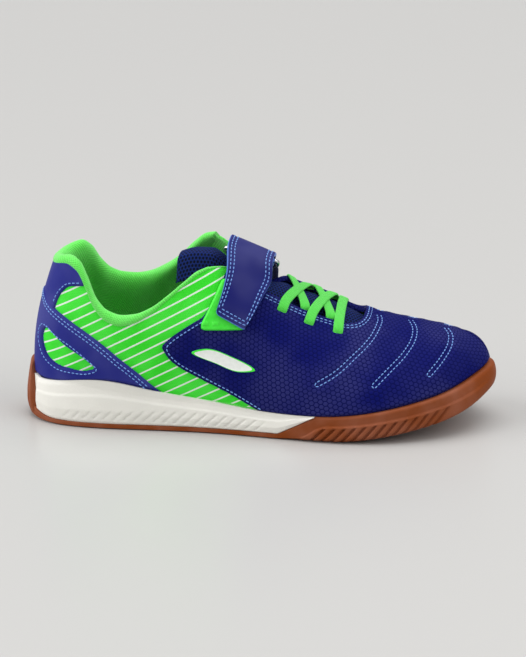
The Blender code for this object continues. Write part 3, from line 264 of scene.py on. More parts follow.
# Its lines: share of its width, height over the tread or over the floor, and inset from the outline
TAB_FOOT = ((1.0, 0.6, 2.2), (1.0, 2.0, 0.9))
TAB_SIDE = ((0.95, 5.5, 0.2), (0.86, 11.0, 0.0))
TAB_CROWN_WIDE, TAB_CROWN_FALL, TAB_CROWN_OUT, TAB_BELLY = 0.5, 3.0, 3.0, 0.3
TAB_HALF_WIDE, TAB_EDGE, TAB_EDGE_DROP = 17.0, 1.6, 1.5
TAB_GROOVES, TAB_GROOVE_DEEP, TAB_GROOVE_FAN = (0.0, 0.24, 0.48, 0.72), 0.55, 0.16
INSOLE_IN, INSOLE_LOW, INSOLE_HIGH, INSOLE_DISH = 2.6, 0.1, 2.9, 0.9

# Camera of the photograph, whose picture is 526 by 657
PICTURE_TALL = 657
FOCAL_PIXELS = 2085.0
SENSOR = 36.0
FLOOR_HALF, FLOOR_Z = 6.0, -0.0002
# Lights: turn from the camera's side, rise and spread in degrees, and share of the key power
LIGHTS = (
    ("key_light", 150, 80, 60, 1.0),
    ("left_light", -76, 28, 50, 0.95),
    ("right_light", 66, 36, 50, 0.5),
)


def srgb(red, green, blue):
    """Linear colour of three 8-bit values."""
    values = [v / 255 for v in (red, green, blue)]
    return tuple(v / 12.92 if v <= 0.04045 else ((v + 0.055) / 1.055) ** 2.4 for v in values)


def measure(name, words, value, kind="LENGTH"):
    """Property of one number with a default, a length where no other unit is named."""
    return FloatProperty(name=name, description=words, default=value, unit=kind)


class ShoeSizes(bpy.types.PropertyGroup):
    """Sizes of the seams and surface patterns."""

    stitch: measure("Stitch", "Length of one stitch", 1.6 * MM)
    pitch: measure("Pitch", "Stitch to stitch", 2.25 * MM)
    thread: measure("Thread", "Thread thickness", 0.55 * MM)
    cell: measure("Honeycomb", "Width of an embossed cell", 2.4 * MM)
    line_gap: measure("Line spacing", "Height between white lines", 5.3 * MM)
    line_wide: measure("Line width", "Width of a white line", 0.75 * MM)
    line_slope: measure("Line slope", "Rise of the white lines", math.radians(27.5), "ROTATION")
    knit: measure("Knit", "Width of a knit loop", 1.25 * MM)
    hole: measure("Mesh", "Hole to hole in the tongue's mesh", 1.75 * MM)
    panel: measure("Panel", "Leather panel thickness", 1.5 * MM)


def colour(name, words, value):
    """Colour property with a default."""
    return FloatVectorProperty(
        name=name, description=words, subtype="COLOR", size=3, min=0, max=1, default=value
    )


class ShoeColours(bpy.types.PropertyGroup):
    """Colours of the shoe's materials."""

    blue: colour("Blue", "Leather of the vamp", srgb(14, 20, 98))
    heel: colour("Heel", "Leather of the heel", srgb(40, 45, 134))
    strap: colour("Strap", "Leather of the strap", srgb(27, 31, 106))
    thread: colour("Thread", "Sewing thread", srgb(104, 158, 236))
    edge: colour("Edge", "Painted cut edge of the strap", srgb(74, 116, 206))
    green: colour("Green", "Textile of the quarter", srgb(58, 236, 46))
    line: colour("Line", "Printed lines of the quarter", srgb(240, 244, 238))
    knit: colour("Knit", "Knit of the collar and lining", srgb(96, 240, 80))
    lace: colour("Lace", "Elastic lace", srgb(84, 242, 72))
    navy: colour("Navy", "Mesh of the tongue", srgb(17, 38, 102))
    foam: colour("Foam", "Midsole", srgb(238, 236, 228))
    gum: colour("Gum", "Outsole", srgb(140, 66, 19))
    steel: colour("Steel", "Wire ring", srgb(205, 206, 210))
    floor: colour("Floor", "Studio floor", srgb(188, 187, 185))


class ShoeStage(bpy.types.PropertyGroup):
    """Camera and light."""

    azimuth: measure("Azimuth", "Camera turn toward the toe", math.radians(5), "ROTATION")
    elevation: measure("Elevation", "Camera height angle", math.radians(15.5), "ROTATION")
    distance: measure("Distance", "Camera to shoe", 1.05)
    aim_x: measure("Aim X", "Aim along the shoe", 2.2 * MM)
    aim_z: measure("Aim Z", "Aim height", 45.3 * MM)
    sky: measure("Sky", "Strength of the even light", 0.38, "NONE")
    key: measure("Key", "Power of the key light", 2.05, "NONE")


def size(name):
    """A size from the panel, in millimetres."""
    return getattr(bpy.context.scene.shoe_sizes, name) / MM


def tint(name):
    """A colour from the panel."""
    return tuple(getattr(bpy.context.scene.shoe_colours, name))


# Curves of the last


def turn_of(x):
    """Angle of the station at x: 0 at the heel, half a turn at the toe."""
    return np.arccos(np.clip(1 - 2 * np.asarray(x, float) / LENGTH, -1, 1))


def station_x(angle):
    """Distance of a station from the heel."""
    return LENGTH * (1 - np.cos(angle)) / 2


def side_of(angle):
    """-1 on the lateral half of the turn, +1 on the medial half."""
    return np.where(np.sin(angle) >= -TINY, -1.0, 1.0)


def on_half(turn, side):
    """The angle of a station on the lateral side, or of its mirror on the medial side."""
    return turn if side < 0 else FULL_TURN - turn


def ease(low, high, value):
    """0 below low, 1 above high, smooth between."""
    t = np.clip((value - low) / (high - low), 0, 1)
    return t * t * (3 - 2 * t)


def span(limits, value):
    """0 outside four limits, 1 between the middle two, smooth between."""
    return ease(*limits[:2], value) * (1 - ease(*limits[2:], value))


def stack(x, y, z):
    """Points from their coordinates, of which some may be single numbers."""
    return np.stack(np.broadcast_arrays(x, y, z), -1)


def unit(v):
    """Vectors of length 1."""
    v = np.asarray(v, float)
    return v / np.maximum(np.linalg.norm(v, axis=-1, keepdims=True), 1e-12)


def hermite(y0, m0, y1, m1, t):
    """Cubic between two values with given slopes."""
    return (
        y0 * (1 + 2 * t) * (1 - t) ** 2
        + m0 * t * (1 - t) ** 2
        + y1 * t * t * (3 - 2 * t)
        + m1 * t * t * (t - 1)
    )


def ring_spline(knots, values):
    """Smooth closed curve through the values, as a function of the angle."""
    knots = np.asarray(knots, float)
    values = np.asarray(values, float)
    count = len(knots)
    gap = np.diff(np.append(knots, knots[0] + FULL_TURN))
    rise = (np.roll(values, -1) - values) / gap
    matrix = np.zeros((count, count))
    for i in range(count):
        matrix[i, i - 1] += gap[i]
        matrix[i, i] += 2 * (gap[i - 1] + gap[i])
        matrix[i, (i + 1) % count] += gap[i - 1]
    slope = np.linalg.solve(matrix, 3 * (gap * np.roll(rise, 1) + np.roll(gap, 1) * rise))

    def at(angle):
        angle = (np.asarray(angle, float) - knots[0]) % FULL_TURN + knots[0]
        i = np.clip(np.searchsorted(knots, angle, side="right") - 1, 0, count - 1)
        j = (i + 1) % count
        t = (angle - knots[i]) / gap[i]
        return hermite(values[i], slope[i] * gap[i], values[j], slope[j] * gap[i], t)

    return at


def loop_curve(rows, columns, lateral, medial):
    """Closed curve of one column along the lateral side and another back along the medial side."""
    table = np.array(rows, float)
    turn = turn_of(table[:, 0])
    knots = np.concatenate([turn, FULL_TURN - turn[-2:0:-1]])
    values = np.concatenate([table[:, columns.index(lateral)], table[-2:0:-1, columns.index(medial)]])
    return ring_spline(knots, values)


def smooth_line(x, y):
    """Smooth open curve through values at places, level beyond its ends."""
    rise = np.diff(y) / np.diff(x)
    slope = np.concatenate([rise[:1], np.zeros(len(x) - 2), rise[-1:]])
    for i in range(1, len(x) - 1):
        a, b = rise[i - 1], rise[i]
        slope[i] = 0 if a * b <= 0 else 2 * a * b / (a + b)

    def at(value):
        value = np.clip(np.asarray(value, float), x[0], x[-1])
        i = np.clip(np.searchsorted(x, value, side="right") - 1, 0, len(x) - 2)
        gap = x[i + 1] - x[i]
        return hermite(y[i], slope[i] * gap, y[i + 1], slope[i + 1] * gap, (value - x[i]) / gap)

    return at


def smooth_lines(rows):
    """Smooth open curves of a table's other columns by its first."""
    first, *others = np.array(rows, float).T
    return [smooth_line(first, column) for column in others]


SOLE_Y = loop_curve(OUTLINE, OUTLINE_COLUMNS, "sole_lat", "sole_med")
FOOT_Y = loop_curve(OUTLINE, OUTLINE_COLUMNS, "foot_lat", "foot_med")
BOTTOM, WALL_TOP, SEAT, LEAN, FOOT_PULL = (
    loop_curve(HEIGHTS, HEIGHT_COLUMNS, name, name) for name in HEIGHT_COLUMNS[1:]
)
HEAD_X, HEAD_Z, CENTRE, SPREAD, TILT, HEAD_PULL = (
    loop_curve(HEADS, HEAD_COLUMNS, name, name) for name in HEAD_COLUMNS[1:]
)
TOP_LATERAL, TOP_MEDIAL = smooth_lines(TOPLINE)
PANEL_LOW, PANEL_HIGH = smooth_lines(PANEL)
COUNTER_TOP, = smooth_lines(COUNTER)
PATCH_LOW, = smooth_lines(PATCH)
BASE_LOW, BASE_HIGH = smooth_lines(BASE)
TONGUE_Z, TONGUE_HALF = smooth_lines(TONGUE)
STRAP_CUT, = smooth_lines(STRAP_TIP)


def instep_rise(x, y):
    """Extra height of the instep on its medial side."""
    return INSTEP_RISE * span(RISE_ALONG, x) * span(RISE_ACROSS, y)


def last(angle, climb):
    """Point of the upper's outside: angle round the foot, climb 0 at the seat and 1 at the head."""
    angle, climb = np.broadcast_arrays(np.asarray(angle, float), np.asarray(climb, float))
    foot_x = UPPER_HEEL_X + (UPPER_TOE_X - UPPER_HEEL_X) * (1 - np.cos(angle)) / 2
    foot = stack(foot_x, FOOT_Y(angle), SEAT(angle))
    rim = np.where(station_x(angle) < RIM_END, np.clip(SPREAD(angle), 0, None), 0)
    head = stack(HEAD_X(angle), CENTRE(angle) + side_of(angle) * rim, HEAD_Z(angle))
    out = unit(foot[..., :2] - head[..., :2])
    lean = np.radians(LEAN(angle))
    rise = (head - foot)[..., 2] * FOOT_PULL(angle)
    handle = stack(out[..., 0] * np.sin(lean), out[..., 1] * np.sin(lean), np.cos(lean)) * rise[..., None]
    tilt = np.radians(np.clip(TILT(angle), 0, 90))
    step = 0.01
    front = HEAD_X(angle + step) - HEAD_X(angle - step)
    fall = HEAD_Z(angle + step) - HEAD_Z(angle - step)
    level = np.where(np.abs(front) < 1e-4, 0, fall / np.where(front == 0, 1, front))
    level = np.where(station_x(angle) > RIDGE_START[0], np.clip(level, *RIDGE_SLOPES), 0)
    level = level * ease(*RIDGE_START, station_x(angle))
    reach = HEAD_PULL(angle) * np.linalg.norm(head - foot, axis=-1)
    drop = stack(out[..., 0] * np.cos(tilt), out[..., 1] * np.cos(tilt), out[..., 0] * level - np.sin(tilt))
    low, high = foot + handle, head + drop * reach[..., None]
    t = climb[..., None]
    point = foot * (1 - t) ** 3 + 3 * low * t * (1 - t) ** 2 + 3 * high * t * t * (1 - t) + head * t ** 3
    point[..., 2] += instep_rise(point[..., 0], point[..., 1])
    return point


def last_normal(angle, climb):
    """Outward direction of the last, from close neighbours."""
    turn, lift, highest = 0.004, 0.004, 0.985
    climb = np.minimum(climb, highest)
    along = last(angle + turn, climb) - last(angle - turn, climb)
    up = last(angle, climb + lift) - last(angle, np.maximum(climb - lift, 0))
    return unit(np.cross(along, up))


def throat_half(x, wider=0.0):
    """Half width of the throat at x: square ended with rounded corners."""
    front = THROAT_FRONT + wider
    gone = np.clip((x - (front - THROAT_CORNER)) / THROAT_CORNER, 0, 1)
    wide = THROAT_HALF * (THROAT_REAR_SHARE + THROAT_GAIN * ease(*THROAT_GAINS, x))
    wide = wide + wider * ease(*WIDER_FROM, x)
    return np.where(x < front, wide * np.clip(1 - gone ** THROAT_POWER, 0, 1) ** (1 / THROAT_POWER), 0)


def instep_middle(x):
    """Middle line of the instep, whose points lie a little behind their stations."""
    return CENTRE(turn_of(np.clip(x + HEAD_BEHIND, 0, LENGTH)))


def opening(point, angle, wider=0.0):
    """Positive where the upper is cut away for the collar and the throat."""
    x, y, z = point[..., 0], point[..., 1], point[..., 2]
    top = np.where(side_of(angle) < 0, TOP_LATERAL(x), TOP_MEDIAL(x))
    sky, closed, far, steepest = 200, -1, -50, 60
    collar = np.where(x < COLLAR_END, z - top, z - sky)
    half = throat_half(x, wider)
    throat = np.where(x > THROAT_START, half - np.abs(y - instep_middle(x)), far)
    throat = np.where(half <= 0, closed, throat)
    parts = [np.exp(np.clip(part / THROAT_SOFT, -steepest, steepest)) for part in (collar, throat)]
    return np.log(parts[0] + parts[1]) * THROAT_SOFT


def trim(angle, wider=0.0):
    """Climb at which each meridian meets the opening, 1 where it reaches the ridge."""
    climbs = np.linspace(0.2, 1, CLIMB_STEPS)
    level = opening(last(angle[None, :], climbs[:, None]), angle[None, :], wider)
    found = np.ones(len(angle))
    for i in range(len(angle)):
        hits = np.nonzero(level[:, i] > 0)[0]
        if len(hits) and hits[0] > 0:
            k = hits[0]
            part = -level[k - 1, i] / (level[k, i] - level[k - 1, i])
            found[i] = climbs[k - 1] + part * (climbs[k] - climbs[k - 1])
    return found


def climb_at(angle, height):
    """Climb at which each meridian reaches the height."""
    climbs = np.linspace(0, 1, CLIMB_STEPS)
    z = np.maximum.accumulate(last(angle[None, :], climbs[:, None])[..., 2], axis=0)
    height = np.broadcast_to(height, angle.shape)
    return np.array([np.interp(h, z[:, i], climbs) for i, h in enumerate(height)])


def surface(angle, climb):
    """Points and outward directions of the last, with level directions along the ridge."""
    point = last(angle, climb)
    normal = last_normal(angle, climb)
    ridge = (climb > RIDGE_CLIMB)[..., None]
    return point, np.where(ridge, unit(normal * np.array([1, 0, 1])), normal)


def sheet(angle, low, high, rows):
    """Points and outward directions of the last between two climbs at each angle."""
    climb = low + np.linspace(0, 1, rows)[:, None] * (high - low)
    return surface(np.broadcast_to(angle, climb.shape), climb)


def above_hem(points, angle):
    """0 where the upper runs down behind the sole, 1 from just above the sole's edge."""
    return ease(*HEM_TUCK, points[..., 2] - WALL_TOP(angle))


def overlay(thick, share):
    """Height of an overlay off the last: sunk at its edge, its thickness where the share is 1."""
    return (thick + EDGE_SINK) * share - EDGE_SINK


def curve_through(points, count):
    """Smooth line through a few points, evenly spaced."""
    points = np.asarray(points, float)
    reach = np.concatenate([[0], np.cumsum(np.linalg.norm(np.diff(points, axis=0), axis=1))])
    slope = np.gradient(points, reach, axis=0)
    fine = np.linspace(0, reach[-1], count)
    i = np.clip(np.searchsorted(reach, fine, side="right") - 1, 0, len(reach) - 2)
    gap = (reach[i + 1] - reach[i])[:, None]
    t = ((fine - reach[i]) / (reach[i + 1] - reach[i]))[:, None]
    return hermite(points[i], slope[i] * gap, points[i + 1], slope[i + 1] * gap, t)


def tree_of(points):
    """Search tree over points."""
    tree = kdtree.KDTree(len(points))
    for i, point in enumerate(points):
        tree.insert(point, i)
    tree.balance()
    return tree


def away_from(points, path):
    """Distance of each point from the nearest point of a path."""
    tree = tree_of(path)
    return np.array([tree.find(p)[2] for p in points.reshape(-1, 3)]).reshape(points.shape[:-1])


LAST_TURNS = np.linspace(0, FULL_TURN, 481)
LAST_CLIMBS = np.linspace(0.02, 1, 90)
LAST_TREE = tree_of(last(LAST_TURNS[:, None], LAST_CLIMBS[None, :]).reshape(-1, 3))


def pin(points):
    """Angles and climbs of the places on the last nearest to the points."""
    points = np.asarray(points, float)
    near = np.array([LAST_TREE.find(p)[1] for p in points])
    angle = LAST_TURNS[near // len(LAST_CLIMBS)]
    climb = LAST_CLIMBS[near % len(LAST_CLIMBS)]
    step, most, rounds = 1e-3, 0.05, 8
    for _ in range(rounds):
        climb = np.clip(climb, 2 * step, 1 - 2 * step)
        gone = points - last(angle, climb)
        turned = (last(angle + step, climb) - last(angle - step, climb)) / (2 * step)
        raised = (last(angle, climb + step) - last(angle, climb - step)) / (2 * step)
        aa, bb, ab = (turned ** 2).sum(-1), (raised ** 2).sum(-1), (turned * raised).sum(-1)
        ar, br = (turned * gone).sum(-1), (raised * gone).sum(-1)
        whole = np.maximum(aa * bb - ab * ab, TINY)
        angle = angle + np.clip((bb * ar - ab * br) / whole, -most, most)
        climb = climb + np.clip((aa * br - ab * ar) / whole, -most, most)
    return angle, np.clip(climb, 0, 1)


def on_side(x, z, side=-1):
    """Angles and climbs of places on one side given by x and z."""
    x, z = np.asarray(x, float), np.asarray(z, float)
    reach, rounds = 25, 24
    low, high = turn_of(x - reach), turn_of(x + reach)
    for _ in range(rounds):
        turn = (low + high) / 2
        angle = on_half(turn, side)
        climb = climb_at(angle, z)
        behind = last(angle, climb)[:, 0] < x
        low = np.where(behind, turn, low)
        high = np.where(behind, high, turn)
    return angle, climb


def over_instep(x, away):
    """Angles and climbs of places over the instep, by x and distance from its middle line."""
    x, away = np.asarray(x, float), np.asarray(away, float)
    turn = turn_of(x + HEAD_BEHIND)
    goal = np.stack([x, CENTRE(turn) + away], -1)
    angle = np.where(away < 0, turn, FULL_TURN - turn)
    widest, girth = 40, 70
    climb = 1 - np.minimum(np.abs(away), widest) / girth
    step, most, rounds = 1e-4, 0.1, 25
    for _ in range(rounds):
        here = last(angle, climb)[:, :2]
        turned = (last(angle + step, climb)[:, :2] - here) / step
        raised = (here - last(angle, climb - step)[:, :2]) / step
        gone = goal - here
        whole = turned[:, 0] * raised[:, 1] - turned[:, 1] * raised[:, 0]
        whole = np.where(np.abs(whole) < TINY, TINY, whole)
        turn_by = (gone[:, 0] * raised[:, 1] - gone[:, 1] * raised[:, 0]) / whole
        climb_by = (turned[:, 0] * gone[:, 1] - turned[:, 1] * gone[:, 0]) / whole
        angle = angle + np.clip(turn_by, -most, most)
        climb = np.clip(climb + np.clip(climb_by, -most, most), 0.02, 0.99999)
    return angle, climb


# Shader helpers


class Value:
    """A socket of one number, on which Python's operators add Math nodes."""

    def __init__(self, paint, socket):
        self.paint = paint
        self.socket = socket

    def math(self, operation, *others):
        """A Math node whose first input is this number."""
        return self.paint.node("ShaderNodeMath", {"operation": operation}, (self, *others))

    def __add__(self, other):
        return self.math("ADD", other)

    __radd__ = __add__

    def __sub__(self, other):
        return self.math("SUBTRACT", other)

    def __rsub__(self, other):
        return self.paint.node("ShaderNodeMath", {"operation": "SUBTRACT"}, (other, self))

    def __mul__(self, other):
        return self.math("MULTIPLY", other)

    def __truediv__(self, other):
        return self.math("DIVIDE", other)

    def __abs__(self):
        return self.math("ABSOLUTE")

    def wrap(self, pitch):
        """The number folded into half a pitch on both sides of 0."""
        return self.math("WRAP", pitch / 2, -pitch / 2)

    def wave(self, pitch):
        """Sine with this pitch."""
        return self.math("MULTIPLY", FULL_TURN / pitch).math("SINE")

    def smooth(self, low, high):
        """0 below low, 1 above high, eased between."""
        return self.paint.node(
            "ShaderNodeMapRange",
            {"interpolation_type": "SMOOTHSTEP"},
            {"Value": self, "From Min": low, "From Max": high},
        )


class Paint:
    """A material with one Principled shader, and the methods that add nodes to it."""

    def __init__(self, name, rough=0.5, metal=0.0, sheen=0.0, specular=0.5):
        self.material = bpy.data.materials.new(name)
        self.material.use_nodes = True
        self.tree = self.material.node_tree
        self.shader = self.tree.nodes["Principled BSDF"]
        for socket, value in (
            ("Roughness", rough),
            ("Metallic", metal),
            ("Sheen Weight", sheen),
            ("Specular IOR Level", specular),
        ):
            self.shader.inputs[socket].default_value = value

    def node(self, kind, settings=None, inputs=(), output=0):
        """Adds a node: its settings first, then the values or links of its sockets."""
        made = self.tree.nodes.new(kind)
        for key, value in (settings or {}).items():
            setattr(made, key, value)
        pairs = inputs.items() if isinstance(inputs, dict) else enumerate(inputs)
        for key, value in pairs:
            self.put(made.inputs[key], value)
        return Value(self, made.outputs[output])

    def put(self, socket, value):
        """Links a number or sets a value of a socket."""
        if isinstance(value, Value):
            self.tree.links.new(value.socket, socket)
        elif isinstance(value, tuple) and len(value) == 3 and socket.type == "RGBA":
            socket.default_value = (*value, 1.0)
        else:
            socket.default_value = value

    def split(self, vector):
        """The three numbers of a vector."""
        made = self.node("ShaderNodeSeparateXYZ", None, (vector,))
        return [Value(self, socket) for socket in made.socket.node.outputs]

    def place(self):
        """Position in the shoe's frame, in millimetres, as three numbers."""
        spot = self.node("ShaderNodeTexCoord", None, (), "Object")
        scaled = self.node("ShaderNodeVectorMath", {"operation": "SCALE"}, {0: spot, "Scale": 1 / MM})
        return self.split(scaled)

    def field(self, name):
        """A vector field stored on the mesh, as three numbers."""
        return self.split(self.node("ShaderNodeAttribute", {"attribute_name": name}, (), "Vector"))

    def noise(self, scale, detail=2.0, rough=0.5):
        """Cloudy pattern from 0 to 1, with features of about 1/scale metres."""
        spot = self.node("ShaderNodeTexCoord", None, (), "Object")
        return self.node(
            "ShaderNodeTexNoise",
            {"noise_dimensions": "3D"},
            {"Vector": spot, "Scale": scale, "Detail": detail, "Roughness": rough},
        )

    def mix(self, share, first, second):
        """Colour between two."""
        return self.node("ShaderNodeMix", {"data_type": "RGBA"}, {0: share, 6: first, 7: second}, 2)

    def honeycomb(self, across, up, pitch):
        """0 in the middle of a hexagonal cell, 0.5 on its border."""
        tall = pitch * math.sqrt(3)
        ax, ay = across.wrap(pitch), up.wrap(tall)
        bx, by = (across + pitch / 2).wrap(pitch), (up + tall / 2).wrap(tall)
        first = (ax * ax + ay * ay).math("LESS_THAN", bx * bx + by * by)
        x = abs(bx + first * (ax - bx))
        y = abs(by + first * (ay - by))
        return x.math("MAXIMUM", x * 0.5 + y * HEXAGON) / pitch

    def clouded(self, pattern, low, high, base, dark, pale):
        """A colour that a pattern makes darker in some places and paler in others."""
        return self.mix(pattern.smooth(low, high), darker(base, dark), paler(base, pale))

    def colour(self, value):
        """Base colour."""
        self.put(self.shader.inputs["Base Color"], value)

    def rough(self, value):
        """Roughness."""
        self.put(self.shader.inputs["Roughness"], value)

    def bump(self, height):
        """Relief in millimetres."""
        made = self.node("ShaderNodeBump", None, {"Strength": 1.0, "Distance": MM, "Height": height})
        self.put(self.shader.inputs["Normal"], made)


def darker(colour_value, share):
    """A share of a colour."""
    return tuple(v * share for v in colour_value)


def paler(colour_value, share):
    """A colour moved toward white by a share."""
    return tuple(v + (1 - v) * share for v in colour_value)


def embossed_leather():
    """Blue synthetic leather with a pressed honeycomb, with painted shade in its grooves."""
    paint = Paint("vamp_leather", rough=0.5, specular=0.03)
    across, up, _ = paint.field("cloth")
    cell = paint.honeycomb(across, up, size("cell"))
    groove = cell.smooth(0.33, 0.49)
    grain = paint.noise(2600, 3, 0.6)
    cloud = paint.noise(34, 2)
    blue = tint("blue")
    shade = paint.clouded(cloud, 0.35, 0.7, blue, 0.92, 0.02)
    # Painted shade: the honeycomb's grooves are coloured a darker blue; the clouded colour under it is
    # random tone.
    paint.colour(paint.mix(groove, shade, darker(blue, 0.62)))
    paint.rough(0.42 + groove * 0.2 + grain * 0.06)
    paint.bump(grain * 0.03 - groove * 0.16 - cell * 0.10)
    return paint.material


def grained(name, key, specular, cloud, tone, grain, rough, relief):
    """One colour, clouded, under a fine grain: scale and detail of both, tones, roughness and relief."""
    paint = Paint(name, specular=specular)
    fine = paint.noise(*grain)
    paint.colour(paint.clouded(paint.noise(*cloud), *tone[:2], tint(key), *tone[2:]))
    paint.rough(rough[0] + fine * rough[1])
    paint.bump(fine * relief)
    return paint.material


def smooth_leather(name, key):
    """Blue synthetic leather with a fine grain."""
    return grained(name, key, specular=0.06, cloud=(40, 2), tone=(0.3, 0.75, 0.9, 0.03),
                   grain=(1900, 4, 0.65), rough=(0.44, 0.12), relief=0.06)


def gum_rubber():
    """Gum rubber with faint clouding."""
    return grained("gum_rubber", "gum", specular=0.12, cloud=(46, 3), tone=(0.3, 0.75, 0.84, 0.04),
                   grain=(1400, 3), rough=(0.44, 0.16), relief=0.05)


def midsole_foam():
    """White moulded foam, a little uneven."""
    return grained("midsole_foam", "foam", specular=0.5, cloud=(55, 3), tone=(0.3, 0.8, 0.95, 0.0),
                   grain=(900, 3), rough=(0.5, 0.14), relief=0.07)


def lined_textile():
    """Green textile with fine dots and slanting white lines."""
    paint = Paint("quarter_textile", rough=0.62, specular=0.15)
    x, _, z = paint.place()
    slope = math.tan(bpy.context.scene.shoe_sizes.line_slope)
    rise = (z - x * slope).wrap(size("line_gap"))
    half = size("line_wide") / 2 / math.cos(math.atan(slope))
    soft, dot_pitch = 0.16, 0.95
    line = 1 - abs(rise).smooth(half - soft, half + soft)
    dot = 1 - paint.honeycomb(x, z, dot_pitch).smooth(0.14, 0.3)
    weave = x.wave(0.55) * z.wave(0.5)
    cloud = paint.noise(60, 2)
    green = tint("green")
    ground = paint.clouded(cloud, 0.3, 0.7, green, 0.88, 0.03)
    ground = paint.mix(dot * 0.5, ground, darker(green, 0.74))
    paint.colour(paint.mix(line * 0.93, ground, tint("line")))
    paint.rough(0.6 - line * 0.1)
    paint.bump(weave * 0.03 - dot * 0.05 + line * 0.05)
    return paint.material


def knit_cloth():
    """Soft green knit with slanting ribs, with painted shade in its hollows."""
    paint = Paint("collar_knit", rough=0.82, sheen=0.35)
    along, across, _ = paint.field("cloth")
    pitch = size("knit")
    rib = (along + across * 0.6).wave(pitch)
    loop = (along - across * 1.5).wave(pitch * 1.15)
    relief = rib * 0.55 + loop * 0.45
    low = relief.smooth(-1.0, 0.5)
    cloud = paint.noise(90, 2)
    green = tint("knit")
    # Painted shade: where the knit's relief is low, its colour is a darker green.
    ground = paint.mix(low, darker(green, 0.68), green)
    paint.colour(paint.mix(cloud.smooth(0.35, 0.75) * 0.3, ground, paler(green, 0.12)))
    paint.bump(relief * 0.14)
    return paint.material


def open_mesh():
    """Navy mesh with open cells, whose holes are painted a near-black navy as shade."""
    paint = Paint("tongue_mesh", rough=0.7, specular=0.1)
    along, across, _ = paint.field("cloth")
    cell = paint.honeycomb(along, across * 0.8, size("hole"))
    strand = cell.smooth(0.24, 0.38)
    fuzz = paint.noise(1500, 2)
    navy = tint("navy")
    # Painted shade: the holes between the strands are coloured a near-black navy.
    paint.colour(paint.mix(strand, darker(navy, 0.10), navy))
    paint.rough(0.62 + fuzz * 0.2)
    paint.bump(strand * 0.42 + fuzz * 0.05)
    return paint.material


def woven_band(name, colour_value, pitch):
    """Flat woven elastic or webbing, ribbed along its length, with painted shade between its ribs."""
    paint = Paint(name, rough=0.72, sheen=0.2)
    along, across, _ = paint.field("cloth")
    rib = across.wave(pitch)
    weft = (along + across * 0.25).wave(pitch * 0.9)
    relief = rib * 0.6 + weft * 0.4
    # Painted shade: the low parts of the weave are coloured darker.
    paint.colour(paint.mix(relief.smooth(-0.9, 0.5), darker(colour_value, 0.55), colour_value))
    paint.bump(relief * 0.16)
    return paint.material


def sewing_thread():
    """Glossy sewing thread."""
    paint = Paint("sewing_thread", rough=0.48, sheen=0.2)
    twist = paint.noise(1800, 2)
    thread = tint("thread")
    paint.colour(paint.clouded(twist, 0.3, 0.7, thread, 0.78, 0.06))
    paint.bump(twist * 0.1)
    return paint.material


def plain(name, colour_value, rough, metal=0.0, scale=600, relief=0.04):
    """A finish of one colour with slight grain."""
    paint = Paint(name, rough=rough, metal=metal)
    grain = paint.noise(scale, 3)
    paint.colour(paint.clouded(grain, 0.25, 0.75, colour_value, 0.92, 0.02))
    paint.rough(rough - 0.05 + grain * 0.1)
    paint.bump(grain * relief)
    return paint.material


# Mesh helpers


def welded(points):
    """Numbers of the points that differ, and the place of every point among them."""
    _, first, index = np.unique(
        np.round(points * WELDS_PER_MM).astype(np.int64), axis=0, return_index=True, return_inverse=True
    )
    return first, index.reshape(-1)


class Shape:
    """Points, faces and fields gathered before they become one mesh."""

    def __init__(self):
        self.points = []
        self.cloth = []
        self.faces = []
        self.paints = []
        self.count = 0

    def add(self, points, cloth=None):
        """Adds points and returns their numbers in the same layout."""
        points = np.asarray(points, float)
        flat = points.reshape(-1, 3)
        cloth = np.zeros_like(points) if cloth is None else np.asarray(cloth, float)
        self.points.append(flat)
        self.cloth.append(cloth.reshape(-1, 3))
        index = self.count + np.arange(len(flat)).reshape(points.shape[:-1])
        self.count += len(flat)
        return index

    def quads(self, index, paint=0):
        """Faces of a grid of point numbers."""
        a, b, c, d = index[:-1, :-1], index[:-1, 1:], index[1:, 1:], index[1:, :-1]
        faces = np.stack([a, b, c, d], -1).reshape(-1, 4)
        self.faces.extend(faces.tolist())
        self.paints.extend([paint] * len(faces))

    def hoops(self, index, paint=0):
        """Faces of a grid of point numbers whose rows close round."""
        self.quads(np.concatenate([index, index[:, :1]], axis=1), paint)

    def face(self, corners, paint=0):
        """One face of any number of corners."""
        self.faces.append([int(i) for i in corners])
        self.paints.append(paint)

    def slab(self, outer, inner, paint=0, edge=None, back=None):
        """Closed solid between two grids of point numbers."""
        edge = paint if edge is None else edge
        self.quads(outer, paint)
        self.quads(inner[::-1], paint if back is None else back)
        for line, under in (
            (outer[0], inner[0]),
            (inner[-1], outer[-1]),
            (inner[:, 0], outer[:, 0]),
            (outer[:, -1], inner[:, -1]),
        ):
            self.quads(np.stack([under, line]), edge)

    def make(self, name, materials, slot, nodes=(), sharp=50):
        """Makes the object on the shoe's body, with equal points welded and doubled faces dropped."""
        points = np.concatenate(self.points)
        cloth = np.concatenate(self.cloth)
        first, index = welded(points)
        faces, paints = [], []
        for corners, paint in zip(self.faces, self.paints):
            kept = list(dict.fromkeys(index[corners].tolist()))
            if len(kept) > 2:
                faces.append(kept)
                paints.append(paint)
        twins = Counter(tuple(sorted(corners)) for corners in faces)
        single = [twins[tuple(sorted(corners))] == 1 for corners in faces]
        faces = [corners for corners, keep in zip(faces, single) if keep]
        paints = [paint for paint, keep in zip(paints, single) if keep]
        mesh = bpy.data.meshes.new(name)
        mesh.from_pydata(((points[first] - ORIGIN) * MM).tolist(), [], faces)
        mesh.polygons.foreach_set("material_index", paints)
        for material in materials:
            mesh.materials.append(material)
        shape = bmesh.new()
        shape.from_mesh(mesh)
        bmesh.ops.recalc_face_normals(shape, faces=shape.faces)
        shape.to_mesh(mesh)
        shape.free()
        field = mesh.attributes.new("cloth", "FLOAT_VECTOR", "POINT")
        field.data.foreach_set("vector", cloth[first].astype(np.float32).ravel())
        mesh.shade_smooth()
        mesh.set_sharp_from_angle(angle=math.radians(sharp))
        made = bpy.data.objects.new(name, mesh)
        bpy.context.scene.collection.objects.link(made)
        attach(made, "root")
        if nodes:
            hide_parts(*nodes)
        return made


